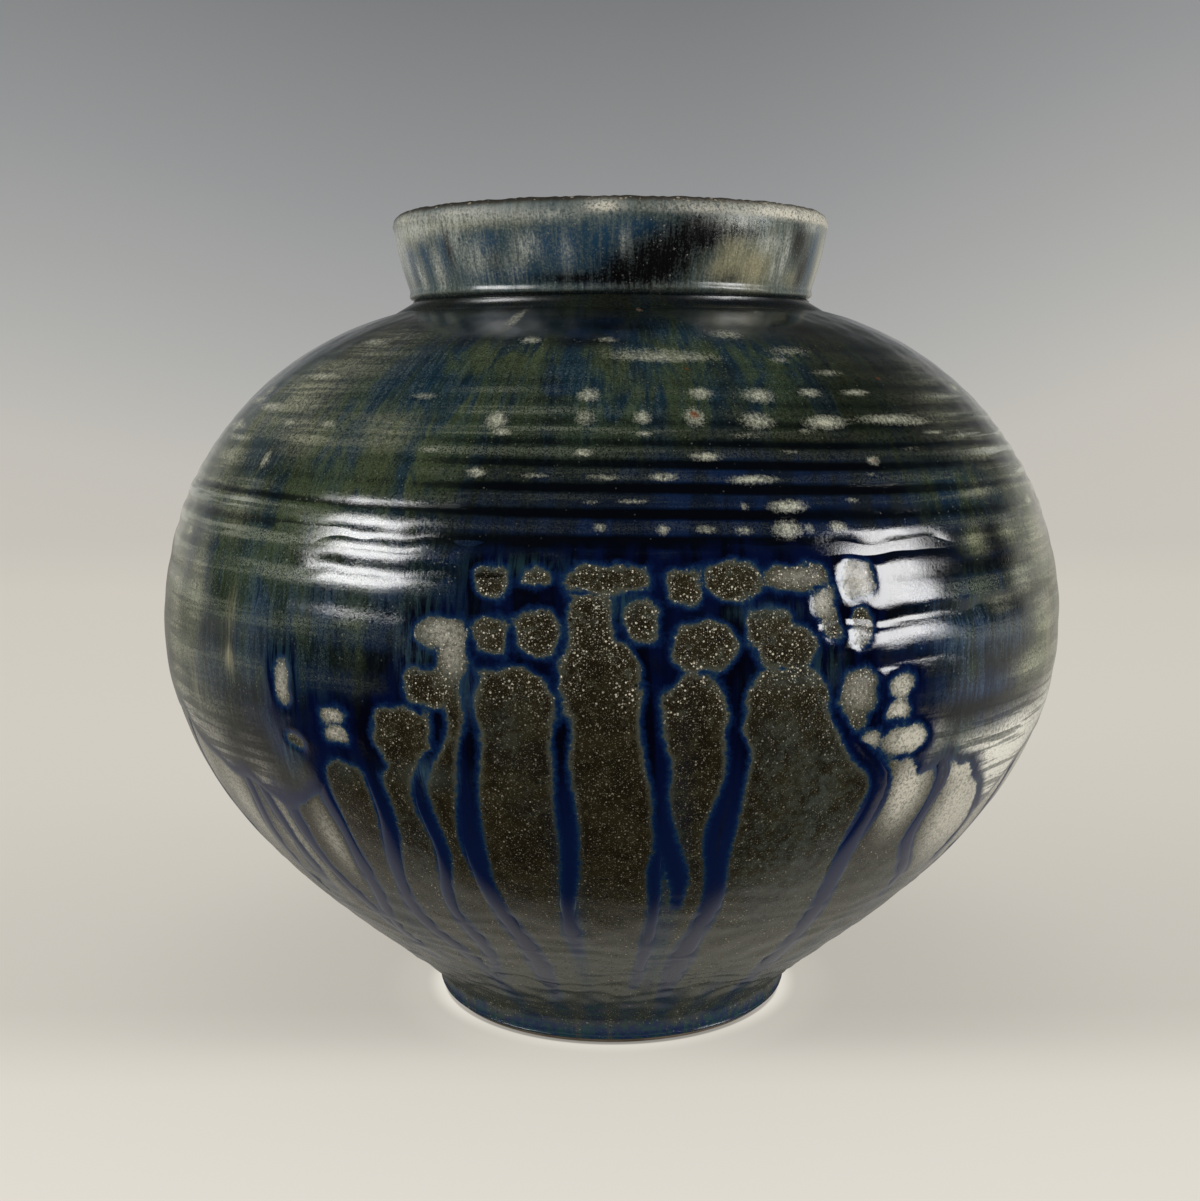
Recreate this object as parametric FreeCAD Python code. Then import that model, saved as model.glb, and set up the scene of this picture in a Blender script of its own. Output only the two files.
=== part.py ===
import FreeCAD, Part
import math
import os
from FreeCAD import Vector

# Round stoneware jar, thrown as two bowls joined rim to rim at the belly, with a foot ring and a flared
# collar. It stands on z = 0 about the z axis. Lengths are in millimetres, leans and bearings in degrees.
# A lean is measured from upright, outwards. A bearing of 0 faces the front (-y) and 90 faces +x.

# Clay wall
belly_radius = 124.1
belly_height = 112.0
shoulder_radius = 84.9
wall_thickness = 5.6
wall_foot_lean = 43.8
wall_foot_pull_share = 0.218
wall_belly_pull_share = 0.415
foot_wall_thickness = 7.2

# Throwing rings, as a wave along the outside of the wall. The shares of height, here and below, are of the
# belly's height.
ring_pitch = 5.8
ring_depth = 0.3
ring_low_share = 0.5
ring_first_height_share = 0.9643
ring_fade_length = 16.0

# Foot ring and floor
foot_radius = 49.7
foot_height = 6.5
foot_lean = 8.0
foot_round = 3.0
foot_width = 9.5
foot_bevel = 1.1
floor_thickness = 8.5
floor_round_rise = 6.0

# Seam of the two bowls, with its coil
seam_height_share = 0.9286
coil_rise = 4.6
coil_depth_share = 0.55

# Neck and collar
neck_radius = 54.2
neck_round = 4.0
collar_height = 22.6
collar_lean = 21.0
collar_wall = 3.5
lip_radius = 59.4

# Glaze coats
ground_thickness = 0.8
ground_ring_share = 0.85
bare_edge_height = 1.9
ash_thickness = 0.5
ash_ring_share = 0.65
ash_line_height_share = 1.2232
glaze_edge_length = 1.6
glaze_edge_bulge_share = 0.8
collar_glaze_thickness = 1.1
lip_glaze_thickness = 0.9
liner_thickness = 0.6

# Glaze runs. Each path is a list of (bearing, share of the belly's height) from the top down, and each run
# has its width as a share of run_width.
run_width = 5.6
run_rise = 1.0
run_bed = 0.5
run_end_share = 0.45
front_runs_shares = (
    (0.8, ((-38, 1.10), (-40, 0.92), (-41, 0.75), (-41, 0.58), (-39, 0.43), (-38, 0.30))),
    (0.8, ((-33, 0.92), (-34, 0.78), (-33, 0.64), (-34, 0.50), (-37, 0.43))),
    (1.1, ((-26, 1.02), (-27, 0.88), (-26, 0.72), (-27, 0.56), (-28, 0.43), (-25, 0.31), (-26, 0.15))),
    (0.8, ((-19, 1.03), (-18, 0.92), (-21, 0.79), (-22, 0.65), (-21, 0.52))),
    (1.1, ((-15, 1.20), (-14, 1.04), (-15, 0.86), (-17, 0.68), (-17, 0.50), (-14, 0.35), (-14, 0.16))),
    (0.8, ((-6, 1.18), (-6, 1.02), (-5, 0.84), (-5, 0.66), (-6, 0.50))),
    (0.8, ((4, 1.19), (3, 1.03), (4, 0.85), (6, 0.68), (7, 0.56))),
    (1.2, ((12, 1.20), (11, 1.03), (12, 0.85), (11, 0.69), (14, 0.52), (14, 0.36), (13, 0.16))),
    (1.3, ((22, 1.15), (23, 0.98), (26, 0.85), (30, 0.76), (29, 0.60), (28, 0.42), (30, 0.28), (34, 0.15))),
    (0.7, ((28, 1.05), (29, 0.93), (29, 0.82))),
    (1.0, ((36, 0.98), (36, 0.82), (38, 0.70), (40, 0.58), (41, 0.49))),
    (0.9, ((50, 1.10), (51, 0.92), (49, 0.74), (50, 0.56), (48, 0.42))),
    (0.9, ((-50, 1.08), (-51, 0.90), (-49, 0.72), (-51, 0.55))),
)
back_runs_shares = (
    (1.0, ((62, 1.12), (63, 0.90), (61, 0.70), (62, 0.50), (60, 0.34))),
    (0.8, ((73, 1.14), (72, 0.96), (74, 0.78), (73, 0.62))),
    (1.2, ((86, 1.08), (85, 0.88), (87, 0.68), (86, 0.46), (88, 0.26), (87, 0.15))),
    (0.8, ((98, 1.12), (99, 0.92), (97, 0.75), (99, 0.58))),
    (1.1, ((111, 1.15), (110, 0.94), (112, 0.72), (110, 0.52), (111, 0.36))),
    (0.8, ((122, 1.10), (123, 0.95), (121, 0.80))),
    (1.2, ((134, 1.13), (135, 0.92), (133, 0.70), (134, 0.48), (132, 0.30), (133, 0.16))),
    (0.9, ((147, 1.12), (146, 0.90), (148, 0.70), (147, 0.54))),
    (1.0, ((159, 1.14), (160, 0.96), (158, 0.76), (160, 0.58), (159, 0.42))),
    (0.8, ((171, 1.10), (172, 0.94), (170, 0.78))),
    (1.2, ((183, 1.15), (182, 0.93), (184, 0.71), (183, 0.50), (185, 0.32), (184, 0.16))),
    (0.8, ((195, 1.12), (196, 0.94), (194, 0.76), (195, 0.62))),
    (1.1, ((208, 1.13), (207, 0.92), (209, 0.70), (207, 0.50), (208, 0.34))),
    (0.8, ((220, 1.10), (221, 0.95), (219, 0.82))),
    (1.0, ((232, 1.14), (231, 0.92), (233, 0.72), (232, 0.54), (234, 0.40))),
    (0.8, ((244, 1.11), (245, 0.94), (243, 0.78), (244, 0.64))),
    (1.2, ((257, 1.10), (256, 0.90), (258, 0.70), (257, 0.48), (255, 0.30), (256, 0.15))),
    (0.9, ((270, 1.13), (271, 0.93), (269, 0.74), (270, 0.58))),
    (1.0, ((283, 1.12), (282, 0.92), (284, 0.70), (283, 0.50))),
    (0.9, ((296, 1.10), (297, 0.90), (295, 0.72), (297, 0.56), (296, 0.42))),
)

# How many arcs a smooth stretch of wall is drawn with, and how finely its length is measured
smooth_arcs = 8
length_steps = 400


def facing(lean):
    """Outward direction of a surface that leans outwards by this many degrees, as (r, z)."""
    return math.cos(math.radians(lean)), -math.sin(math.radians(lean))


def moved(point, direction, distance):
    return point[0] + direction[0] * distance, point[1] + direction[1] * distance


def polar(centre, radius, angle):
    """Point at an angle in radians from the outward horizontal, on a circle about centre."""
    return centre[0] + radius * math.cos(angle), centre[1] + radius * math.sin(angle)


def between(first, last, share):
    """Value, or pair of values, at a share of the way from first to last."""
    if isinstance(first, tuple):
        return tuple(between(a, b, share) for a, b in zip(first, last))
    return first + share * (last - first)


# Places that follow from the driving sizes, as (r, z) pairs
foot_facing = facing(foot_lean)
foot_top = (foot_radius + foot_height * math.tan(math.radians(foot_lean)), foot_height)
foot_round_centre = moved(foot_top, foot_facing, foot_round)
wall_start = moved(foot_round_centre, facing(wall_foot_lean), -foot_round)
shoulder_centre = (belly_radius - shoulder_radius, belly_height)
neck_reach = shoulder_radius + neck_round
neck_offset = neck_radius + neck_round - shoulder_centre[0]
neck_centre = (neck_radius + neck_round, belly_height + math.sqrt(neck_reach ** 2 - neck_offset ** 2))
shoulder_end_angle = math.acos(neck_offset / neck_reach)
wall_chord = math.hypot(belly_radius - wall_start[0], belly_height - wall_start[1])
seam_height = belly_height * seam_height_share
ring_first_height = belly_height * ring_first_height_share
ash_line_height = belly_height * ash_line_height_share
jar_height = neck_centre[1] + collar_height
floor_height = foot_height + floor_thickness

# The collar is one arc that leaves the neck's round at collar_lean. The lip's centre lies half a wall
# inside that arc, which fixes the arc's radius.
collar_facing = facing(collar_lean)
collar_start = moved(neck_centre, collar_facing, -neck_round)
lip_centre = (lip_radius - collar_wall / 2, jar_height - collar_wall / 2)
lip_dr = lip_centre[0] - collar_start[0]
lip_dz = lip_centre[1] - collar_start[1]
lip_along = lip_dr * collar_facing[0] + lip_dz * collar_facing[1]
collar_radius = (lip_dr ** 2 + lip_dz ** 2 - (collar_wall / 2) ** 2) / (-collar_wall - 2 * lip_along)
collar_centre = moved(collar_start, collar_facing, -collar_radius)
collar_start_angle = -math.radians(collar_lean)
collar_end_angle = math.atan2(lip_centre[1] - collar_centre[1], lip_centre[0] - collar_centre[0])


def lower_wall_station(share):
    """Point and facing at a share of the curve from the foot to the belly."""
    foot_pull = wall_foot_pull_share * wall_chord
    belly_pull = wall_belly_pull_share * wall_chord
    lean = math.radians(wall_foot_lean)
    corners = (
        wall_start,
        (wall_start[0] + foot_pull * math.sin(lean), wall_start[1] + foot_pull * math.cos(lean)),
        (belly_radius, belly_height - belly_pull),
        (belly_radius, belly_height),
    )
    rest = 1 - share
    weights = (rest ** 3, 3 * rest ** 2 * share, 3 * rest * share ** 2, share ** 3)
    falls = (-rest ** 2, rest ** 2 - 2 * rest * share, 2 * rest * share - share ** 2, share ** 2)
    point = tuple(sum(w * corner[axis] for w, corner in zip(weights, corners)) for axis in (0, 1))
    slope = tuple(sum(f * corner[axis] for f, corner in zip(falls, corners)) for axis in (0, 1))
    length = math.hypot(*slope)
    return point, (slope[1] / length, -slope[0] / length)


def measured_lower_wall():
    """Stations up the lower wall, each (distance from the foot, point, facing)."""
    stations = []
    run = 0.0
    for step in range(length_steps + 1):
        point, normal = lower_wall_station(step / length_steps)
        if stations:
            last = stations[-1][1]
            run += math.hypot(point[0] - last[0], point[1] - last[1])
        stations.append((run, point, normal))
    return stations


lower_stations = measured_lower_wall()
belly_run = lower_stations[-1][0]
shoulder_run = belly_run + shoulder_radius * shoulder_end_angle


def station(run):
    """Point and facing at a distance up the smooth outside of the clay wall from the foot."""
    if run >= belly_run:
        angle = (run - belly_run) / shoulder_radius
        return polar(shoulder_centre, shoulder_radius, angle), (math.cos(angle), math.sin(angle))
    above = next(index for index, entry in enumerate(lower_stations) if entry[0] > run)
    low, high = lower_stations[above - 1], lower_stations[above]
    share = (run - low[0]) / (high[0] - low[0])
    return between(low[1], high[1], share), between(low[2], high[2], share)


def run_at_height(height):
    """Distance up the wall at which the smooth outside reaches a height."""
    if height >= belly_height:
        return belly_run + shoulder_radius * math.asin((height - belly_height) / shoulder_radius)
    above = next(index for index, entry in enumerate(lower_stations) if entry[1][1] > height)
    low, high = lower_stations[above - 1], lower_stations[above]
    return between(low[0], high[0], (height - low[1][1]) / (high[1][1] - low[1][1]))


seam_run = run_at_height(seam_height)
coil_low_run = seam_run - coil_rise
coil_high_run = seam_run + coil_rise
ash_run = run_at_height(ash_line_height)
ash_full_run = ash_run + glaze_edge_length

# The rings start and end on whole rings, so every arc end lies on the smooth wall
ring_first_run = run_at_height(ring_first_height)
ring_count = math.floor((shoulder_run - ring_first_run) / ring_pitch)
ring_last_run = ring_first_run + ring_count * ring_pitch
lower_ends = [ring_first_run * index / smooth_arcs for index in range(smooth_arcs)]
ring_ends = [ring_first_run + ring_pitch / 2 * index for index in range(2 * ring_count + 1)]
outer_ends = lower_ends + ring_ends + [shoulder_run]


def ring_rise(run):
    """Height of the crest, or depth of the trough, of the half ring whose middle is at this distance."""
    if not ring_first_run < run < ring_last_run:
        return 0
    half_ring = math.floor((run - ring_first_run) / (ring_pitch / 2))
    side = 1 if half_ring % 2 else -1
    climb = ring_low_share + (run - ring_first_run) / ring_fade_length
    fade = (shoulder_run - run) / ring_fade_length
    return side * ring_depth * min(climb, fade, 1)


def wall_at(run):
    """Thickness of the clay wall, which thins from the foot to the belly and again to the neck."""
    if run < belly_run:
        return between(foot_wall_thickness, wall_thickness, run / belly_run)
    return between(wall_thickness, collar_wall, (run - belly_run) / (shoulder_run - belly_run))


def inner_place(run):
    point, normal = station(run)
    return moved(point, normal, -wall_at(run))


def floor_round_run():
    """Distance up the wall at which the floor's round meets the inside of the wall."""
    top = floor_height + floor_round_rise
    return next(run for run, point, normal in lower_stations if inner_place(run)[1] > top)


inner_first_run = floor_round_run()
inner_arc_count = 2 * smooth_arcs
inner_shares = [index / inner_arc_count for index in range(inner_arc_count + 1)]
inner_ends = [between(inner_first_run, shoulder_run, share) for share in inner_shares]


def at(point):
    return Vector(point[0], 0, point[1])


def arc_curve(start, middle, end):
    return Part.Arc(at(start), at(middle), at(end))


def outer_arcs(thickness, ring_share):
    """Arcs up the outside of a coat over the clay, each (first run, last run, curve)."""
    arcs = []
    for first, last in zip(outer_ends, outer_ends[1:]):
        middle = (first + last) / 2
        places = [moved(*station(run), thickness) for run in (first, middle, last)]
        places[1] = moved(places[1], station(middle)[1], ring_share * ring_rise(middle))
        arcs.append((first, last, arc_curve(*places)))
    return arcs


def inner_arcs(thickness):
    """Arcs up the inside of the wall, or of a coat on it, each (first run, last run, curve)."""
    arcs = []
    for first, last in zip(inner_ends, inner_ends[1:]):
        runs = (first, (first + last) / 2, last)
        places = [moved(*station(run), -wall_at(run) - thickness) for run in runs]
        arcs.append((first, last, arc_curve(*places)))
    return arcs


def curve_place(entry, run):
    """Parameter on an arc at a distance up the wall."""
    first, last, curve = entry
    share = min(max((run - first) / (last - first), 0), 1)
    return between(curve.FirstParameter, curve.LastParameter, share)


def stretch(arcs, start, end):
    """Edges of the arcs that lie between two distances up the wall."""
    edges = []
    for entry in arcs:
        if entry[1] > start and entry[0] < end:
            edges.append(entry[2].toShape(curve_place(entry, start), curve_place(entry, end)))
    return edges


def point_on(arcs, run):
    """Point on a chain of arcs at a distance up the wall, as (r, z)."""
    entry = next(entry for entry in arcs if entry[1] >= run)
    place = entry[2].value(curve_place(entry, run))
    return place.x, place.z


def line(start, end):
    return Part.LineSegment(at(start), at(end)).toShape()


def arc(start, middle, end):
    return arc_curve(start, middle, end).toShape()


def turned_arc(centre, radius, first_angle, last_angle):
    angles = (first_angle, (first_angle + last_angle) / 2, last_angle)
    return arc(*[polar(centre, radius, angle) for angle in angles])


def revolved(edges):
    """Solid turned from a closed section in the x-z plane."""
    section = Part.Face(Part.Wire(Part.__sortEdges__(edges)))
    return section.revolve(Vector(0, 0, 0), Vector(0, 0, 1), 360)


# Angles about the centre of the neck's round, which is hollow, so its surface faces that centre
shoulder_side = math.pi + shoulder_end_angle
level_side = math.pi
collar_side = math.pi + collar_start_angle


def neck_point(depth, angle):
    """Point at a depth into the clay from the neck's round, or on a coat where the depth is negative."""
    return polar(neck_centre, neck_round + depth, angle)


def neck_arc(depth, first_angle, last_angle):
    return turned_arc(neck_centre, neck_round + depth, first_angle, last_angle)


def lip_end(depth):
    """Point where the collar's side ends and the lip's round begins, at a depth into the clay."""
    return polar(collar_centre, collar_radius - depth, collar_end_angle)


def collar_arc(depth):
    return turned_arc(collar_centre, collar_radius - depth, collar_start_angle, collar_end_angle)


def lip_crest(thickness):
    along = (-math.sin(collar_end_angle), math.cos(collar_end_angle))
    return moved(lip_centre, along, collar_wall / 2 + thickness)


def foot_side(height, thickness):
    """Point on the foot ring's side, or on a coat over it, at the height of the clay under it."""
    return moved((foot_radius + height * math.tan(math.radians(foot_lean)), height), foot_facing, thickness)


def foot_round_arc(thickness):
    """Hollow round between the foot ring's side and the bowl, on a coat of this thickness."""
    low_angle = math.pi - math.radians(foot_lean)
    high_angle = math.pi - math.radians(wall_foot_lean)
    return turned_arc(foot_round_centre, foot_round - thickness, low_angle, high_angle)


def floor_corner(thickness):
    """Start of the floor's round, and the round itself, which meets both floor and wall smoothly."""
    end = inner_place(inner_first_run)
    wall_facing = station(inner_first_run)[1]
    turn = math.acos(-wall_facing[1])
    radius = (end[1] - floor_height) / (1 - math.cos(turn))
    centre = (end[0] - radius * math.sin(turn), floor_height + radius)
    ends = (-math.pi / 2, turn - math.pi / 2)
    start = (centre[0], floor_height + thickness)
    return start, turned_arc(centre, radius - thickness, *ends)


clay_side = outer_arcs(0, 1)
ground_side = outer_arcs(ground_thickness, ground_ring_share)
ash_side = outer_arcs(ground_thickness + ash_thickness, ash_ring_share)
inside = inner_arcs(0)
liner_side = inner_arcs(liner_thickness)
seam_outside = point_on(clay_side, seam_run)
seam_apex = moved(*station(seam_run), -wall_at(seam_run) * (1 - coil_depth_share))
coil_low = point_on(inside, coil_low_run)
coil_high = point_on(inside, coil_high_run)


def make_foot_ring():
    inner_radius = foot_top[0] - foot_width
    bevelled = foot_side(foot_bevel, 0)
    corners = (
        (inner_radius + foot_bevel, 0),
        (bevelled[0] - foot_bevel, 0),
        bevelled,
        foot_top,
        (inner_radius, foot_height),
        (inner_radius, foot_bevel),
    )
    return revolved([line(start, end) for start, end in zip(corners, corners[1:] + corners[:1])])


def make_lower_bowl():
    floor_rim, floor_round = floor_corner(0)
    edges = [
        line((0, foot_height), foot_top),
        foot_round_arc(0),
        *stretch(clay_side, 0, seam_run),
        line(seam_outside, seam_apex),
        line(seam_apex, coil_low),
        *stretch(inside, inner_first_run, coil_low_run),
        floor_round,
        line(floor_rim, (0, floor_height)),
        line((0, floor_height), (0, foot_height)),
    ]
    return revolved(edges)


def make_upper_bowl():
    edges = [
        *stretch(clay_side, seam_run, shoulder_run),
        neck_arc(0, shoulder_side, level_side),
        line(neck_point(0, level_side), neck_point(collar_wall, level_side)),
        neck_arc(collar_wall, level_side, shoulder_side),
        *stretch(inside, coil_high_run, shoulder_run),
        line(coil_high, seam_apex),
        line(seam_apex, seam_outside),
    ]
    return revolved(edges)


def make_belly_coil():
    edges = [
        *stretch(inside, coil_low_run, coil_high_run),
        line(coil_high, seam_apex),
        line(seam_apex, coil_low),
    ]
    return revolved(edges)


def make_neck_collar():
    edges = [
        line(neck_point(collar_wall, level_side), neck_point(0, level_side)),
        neck_arc(0, level_side, collar_side),
        collar_arc(0),
        arc(lip_end(0), lip_crest(0), lip_end(collar_wall)),
        collar_arc(collar_wall),
        neck_arc(collar_wall, collar_side, level_side),
    ]
    return revolved(edges)


def make_ground_glaze():
    start = foot_side(bare_edge_height, 0)
    bulge_height = bare_edge_height + glaze_edge_length * (1 - glaze_edge_bulge_share)
    bulge = foot_side(bulge_height, ground_thickness * glaze_edge_bulge_share)
    full = foot_side(bare_edge_height + glaze_edge_length, ground_thickness)
    edges = [
        arc(start, bulge, full),
        line(full, foot_side(foot_height, ground_thickness)),
        foot_round_arc(ground_thickness),
        *stretch(ground_side, 0, shoulder_run),
        neck_arc(-ground_thickness, shoulder_side, level_side),
        line(neck_point(-ground_thickness, level_side), neck_point(0, level_side)),
        neck_arc(0, level_side, shoulder_side),
        *stretch(clay_side, 0, shoulder_run),
        foot_round_arc(0),
        line(foot_top, start),
    ]
    return revolved(edges)


def ash_edge():
    """Rounded lower edge of the second coat, on the first one."""
    start = point_on(ground_side, ash_run)
    bulge_run = ash_run + glaze_edge_length * (1 - glaze_edge_bulge_share)
    bulge = between(point_on(ground_side, bulge_run), point_on(ash_side, bulge_run), glaze_edge_bulge_share)
    return arc(start, bulge, point_on(ash_side, ash_full_run))


def make_ash_glaze():
    depth = ground_thickness + ash_thickness
    edges = [
        ash_edge(),
        *stretch(ash_side, ash_full_run, shoulder_run),
        neck_arc(-depth, shoulder_side, level_side),
        line(neck_point(-depth, level_side), neck_point(-ground_thickness, level_side)),
        neck_arc(-ground_thickness, level_side, shoulder_side),
        *stretch(ground_side, ash_run, shoulder_run),
    ]
    return revolved(edges)


def make_collar_glaze():
    liner_lip = lip_end(collar_wall + liner_thickness)
    edges = [
        line(neck_point(0, level_side), neck_point(-collar_glaze_thickness, level_side)),
        neck_arc(-collar_glaze_thickness, level_side, collar_side),
        collar_arc(-collar_glaze_thickness),
        arc(lip_end(-collar_glaze_thickness), lip_crest(lip_glaze_thickness), liner_lip),
        line(liner_lip, lip_end(collar_wall)),
        arc(lip_end(collar_wall), lip_crest(0), lip_end(0)),
        collar_arc(0),
        neck_arc(0, collar_side, level_side),
    ]
    return revolved(edges)


def make_liner_glaze():
    depth = collar_wall + liner_thickness
    floor_rim, floor_round = floor_corner(0)
    glazed_rim, glazed_round = floor_corner(liner_thickness)
    edges = [
        line((0, floor_height), floor_rim),
        floor_round,
        *stretch(inside, inner_first_run, shoulder_run),
        neck_arc(collar_wall, shoulder_side, collar_side),
        collar_arc(collar_wall),
        line(lip_end(collar_wall), lip_end(depth)),
        collar_arc(depth),
        neck_arc(depth, collar_side, shoulder_side),
        *stretch(liner_side, inner_first_run, shoulder_run),
        glazed_round,
        line(glazed_rim, (0, glazed_rim[1])),
        line((0, glazed_rim[1]), (0, floor_height)),
    ]
    return revolved(edges)


def coated_body():
    """The whole jar with its outer coats and no hollow, to trim what lies on them."""
    depth = ground_thickness + ash_thickness
    neck_edge = neck_point(-depth, level_side)
    edges = [
        line((0, foot_height), foot_top),
        line(foot_top, foot_side(foot_height, ground_thickness)),
        foot_round_arc(ground_thickness),
        *stretch(ground_side, 0, ash_run),
        ash_edge(),
        *stretch(ash_side, ash_full_run, shoulder_run),
        neck_arc(-depth, shoulder_side, level_side),
        line(neck_edge, (0, neck_edge[1])),
        line((0, neck_edge[1]), (0, foot_height)),
    ]
    return revolved(edges)


def glaze_point(bearing, run, lift):
    """Point over the smooth first coat at a bearing and a distance up the wall."""
    point, normal = station(run)
    radius, height = moved(point, normal, ground_thickness + lift)
    angle = math.radians(bearing)
    return Vector(radius * math.sin(angle), -radius * math.cos(angle), height)


def run_section(bearing, run, half_width, rise):
    """Closed lens across a glaze run: an arc over the coat, and a chord a little under it."""
    spread = math.degrees(half_width / station(run)[0][0])
    left = glaze_point(bearing - spread, run, -run_bed)
    crest = glaze_point(bearing, run, rise)
    right = glaze_point(bearing + spread, run, -run_bed)
    return Part.Wire([Part.Arc(left, crest, right).toShape(), Part.LineSegment(right, left).toShape()])


def make_run(width_share, path):
    """One raised trail, slim where it starts and rounded off where it stopped."""
    half_width = run_width * width_share / 2
    end_width = half_width * run_end_share
    places = [(bearing, run_at_height(share * belly_height)) for bearing, share in path]
    top_bearing, top_run = places[0]
    low_bearing, low_run = places[-1]
    sections = [run_section(top_bearing, top_run + half_width, end_width, 0)]
    sections += [run_section(bearing, run, half_width, run_rise) for bearing, run in places]
    sections.append(run_section(low_bearing, low_run - half_width, end_width, 0))
    return Part.makeLoft(sections, True, False)


def make_glaze_runs():
    """Every raised trail, as one solid where two of them ran together."""
    body = coated_body()
    trails = []
    for width_share, path in front_runs_shares + back_runs_shares:
        raised = make_run(width_share, path).cut(body).Solids
        trails.append(max(raised, key=lambda solid: solid.Volume))
    return trails[0].multiFuse(trails[1:])


sub_parts = {
    "foot_ring": make_foot_ring,
    "lower_bowl": make_lower_bowl,
    "upper_bowl": make_upper_bowl,
    "belly_coil": make_belly_coil,
    "neck_collar": make_neck_collar,
    "ground_glaze": make_ground_glaze,
    "ash_glaze": make_ash_glaze,
    "collar_glaze": make_collar_glaze,
    "liner_glaze": make_liner_glaze,
    "glaze_runs": make_glaze_runs,
}

os.makedirs("parts", exist_ok=True)
for name, make in sub_parts.items():
    shape = make()
    shape.exportStep(f"parts/{name}.step")
    print(name, shape.isValid(), len(shape.Solids), round(shape.Volume))
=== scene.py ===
import math
import bpy
import numpy as np
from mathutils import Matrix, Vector


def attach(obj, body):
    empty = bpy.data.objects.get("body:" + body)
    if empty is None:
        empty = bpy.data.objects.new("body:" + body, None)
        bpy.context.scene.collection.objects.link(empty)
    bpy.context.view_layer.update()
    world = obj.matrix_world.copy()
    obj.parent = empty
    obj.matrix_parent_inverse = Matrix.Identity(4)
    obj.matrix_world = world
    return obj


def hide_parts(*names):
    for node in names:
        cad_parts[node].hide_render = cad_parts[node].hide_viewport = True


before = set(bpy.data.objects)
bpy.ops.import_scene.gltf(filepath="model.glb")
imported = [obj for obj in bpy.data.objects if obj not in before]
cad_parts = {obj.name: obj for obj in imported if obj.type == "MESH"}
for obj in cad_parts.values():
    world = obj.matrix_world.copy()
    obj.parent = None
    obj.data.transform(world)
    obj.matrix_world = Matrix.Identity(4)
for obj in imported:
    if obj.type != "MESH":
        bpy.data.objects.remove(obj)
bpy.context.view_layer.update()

# A round stoneware jar: clay under a brown ground glaze, a dark ash glaze over the shoulder, blue runs, a
# streaked collar glaze and a liner. Sizes are in millimetres, bearings in degrees: 0 faces the front, 90
# the right side. A run is a distance along the clay's surface, up the outside, over the lip and down inside.
MM = 0.001

# Sizes of the clay wall
belly_radius = 124.1
belly_height = 112.0
shoulder_radius = 84.9
wall_thickness = 5.6
wall_foot_lean = 43.8
foot_wall_thickness = 7.2
foot_radius = 49.7
foot_height = 6.5
foot_lean = 8.0
foot_round = 3.0
floor_height = 15.0
floor_radius = 38.6
floor_round = 25.0
neck_radius = 54.2
neck_round = 4.0
collar_height = 22.6
collar_lean = 21.0
collar_wall = 3.5
lip_radius = 59.4
# Shares of the lower wall's chord over which its curve keeps the foot's lean and the belly's upright
foot_pull = 0.218
belly_pull = 0.415
# Height over the floor where the inside leaves the wall for the floor's round
corner_rise = 6.2

# Thicknesses of the glaze coats over the clay
ground_thickness = 0.8
ash_thickness = 1.3
collar_coat_thickness = 1.1
lip_coat_thickness = 0.9
liner_thickness = 0.6

# Columns of a turned skin crowd towards the front by this share
FRONT_CROWDING = 0.45


class Outline:
    """Smooth surface of the clay in section, from the table up the outside, over the lip and down inside."""

    def __init__(self):
        self.points = []
        self.normals = []
        self.marks = {}

    def add(self, points, normals, mark):
        self.points.extend(points)
        self.normals.extend(normals)
        self.marks[mark] = len(self.points) - 1

    def finish(self):
        points = np.array(self.points)
        normals = np.array(self.normals)
        steps = np.hypot(*np.diff(points, axis=0).T)
        keep = np.concatenate([[True], steps > 1e-6])
        runs = np.concatenate([[0], np.cumsum(steps)])
        self.marks = {mark: runs[index] for mark, index in self.marks.items()}
        self.run = runs[keep]
        self.r, self.z = points[keep].T
        self.nr, self.nz = normals[keep].T
        outside = self.run <= self.marks["collar"]
        self.outer_z = self.z[outside]
        self.outer_run = self.run[outside]

    def place(self, run, lift):
        """Radius and height at a run, this far out from the clay."""
        radius = np.interp(run, self.run, self.r) + lift * np.interp(run, self.run, self.nr)
        height = np.interp(run, self.run, self.z) + lift * np.interp(run, self.run, self.nz)
        return radius, height

    def run_at(self, height):
        return np.interp(height, self.outer_z, self.outer_run)


def arc_points(centre, radius, first, last, outward, count=120):
    """Points and normals along an arc, from a first to a last angle in radians."""
    angles = np.linspace(first, last, count)
    facing = np.c_[np.cos(angles), np.sin(angles)]
    return np.array(centre) + facing * radius, facing * outward


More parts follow.
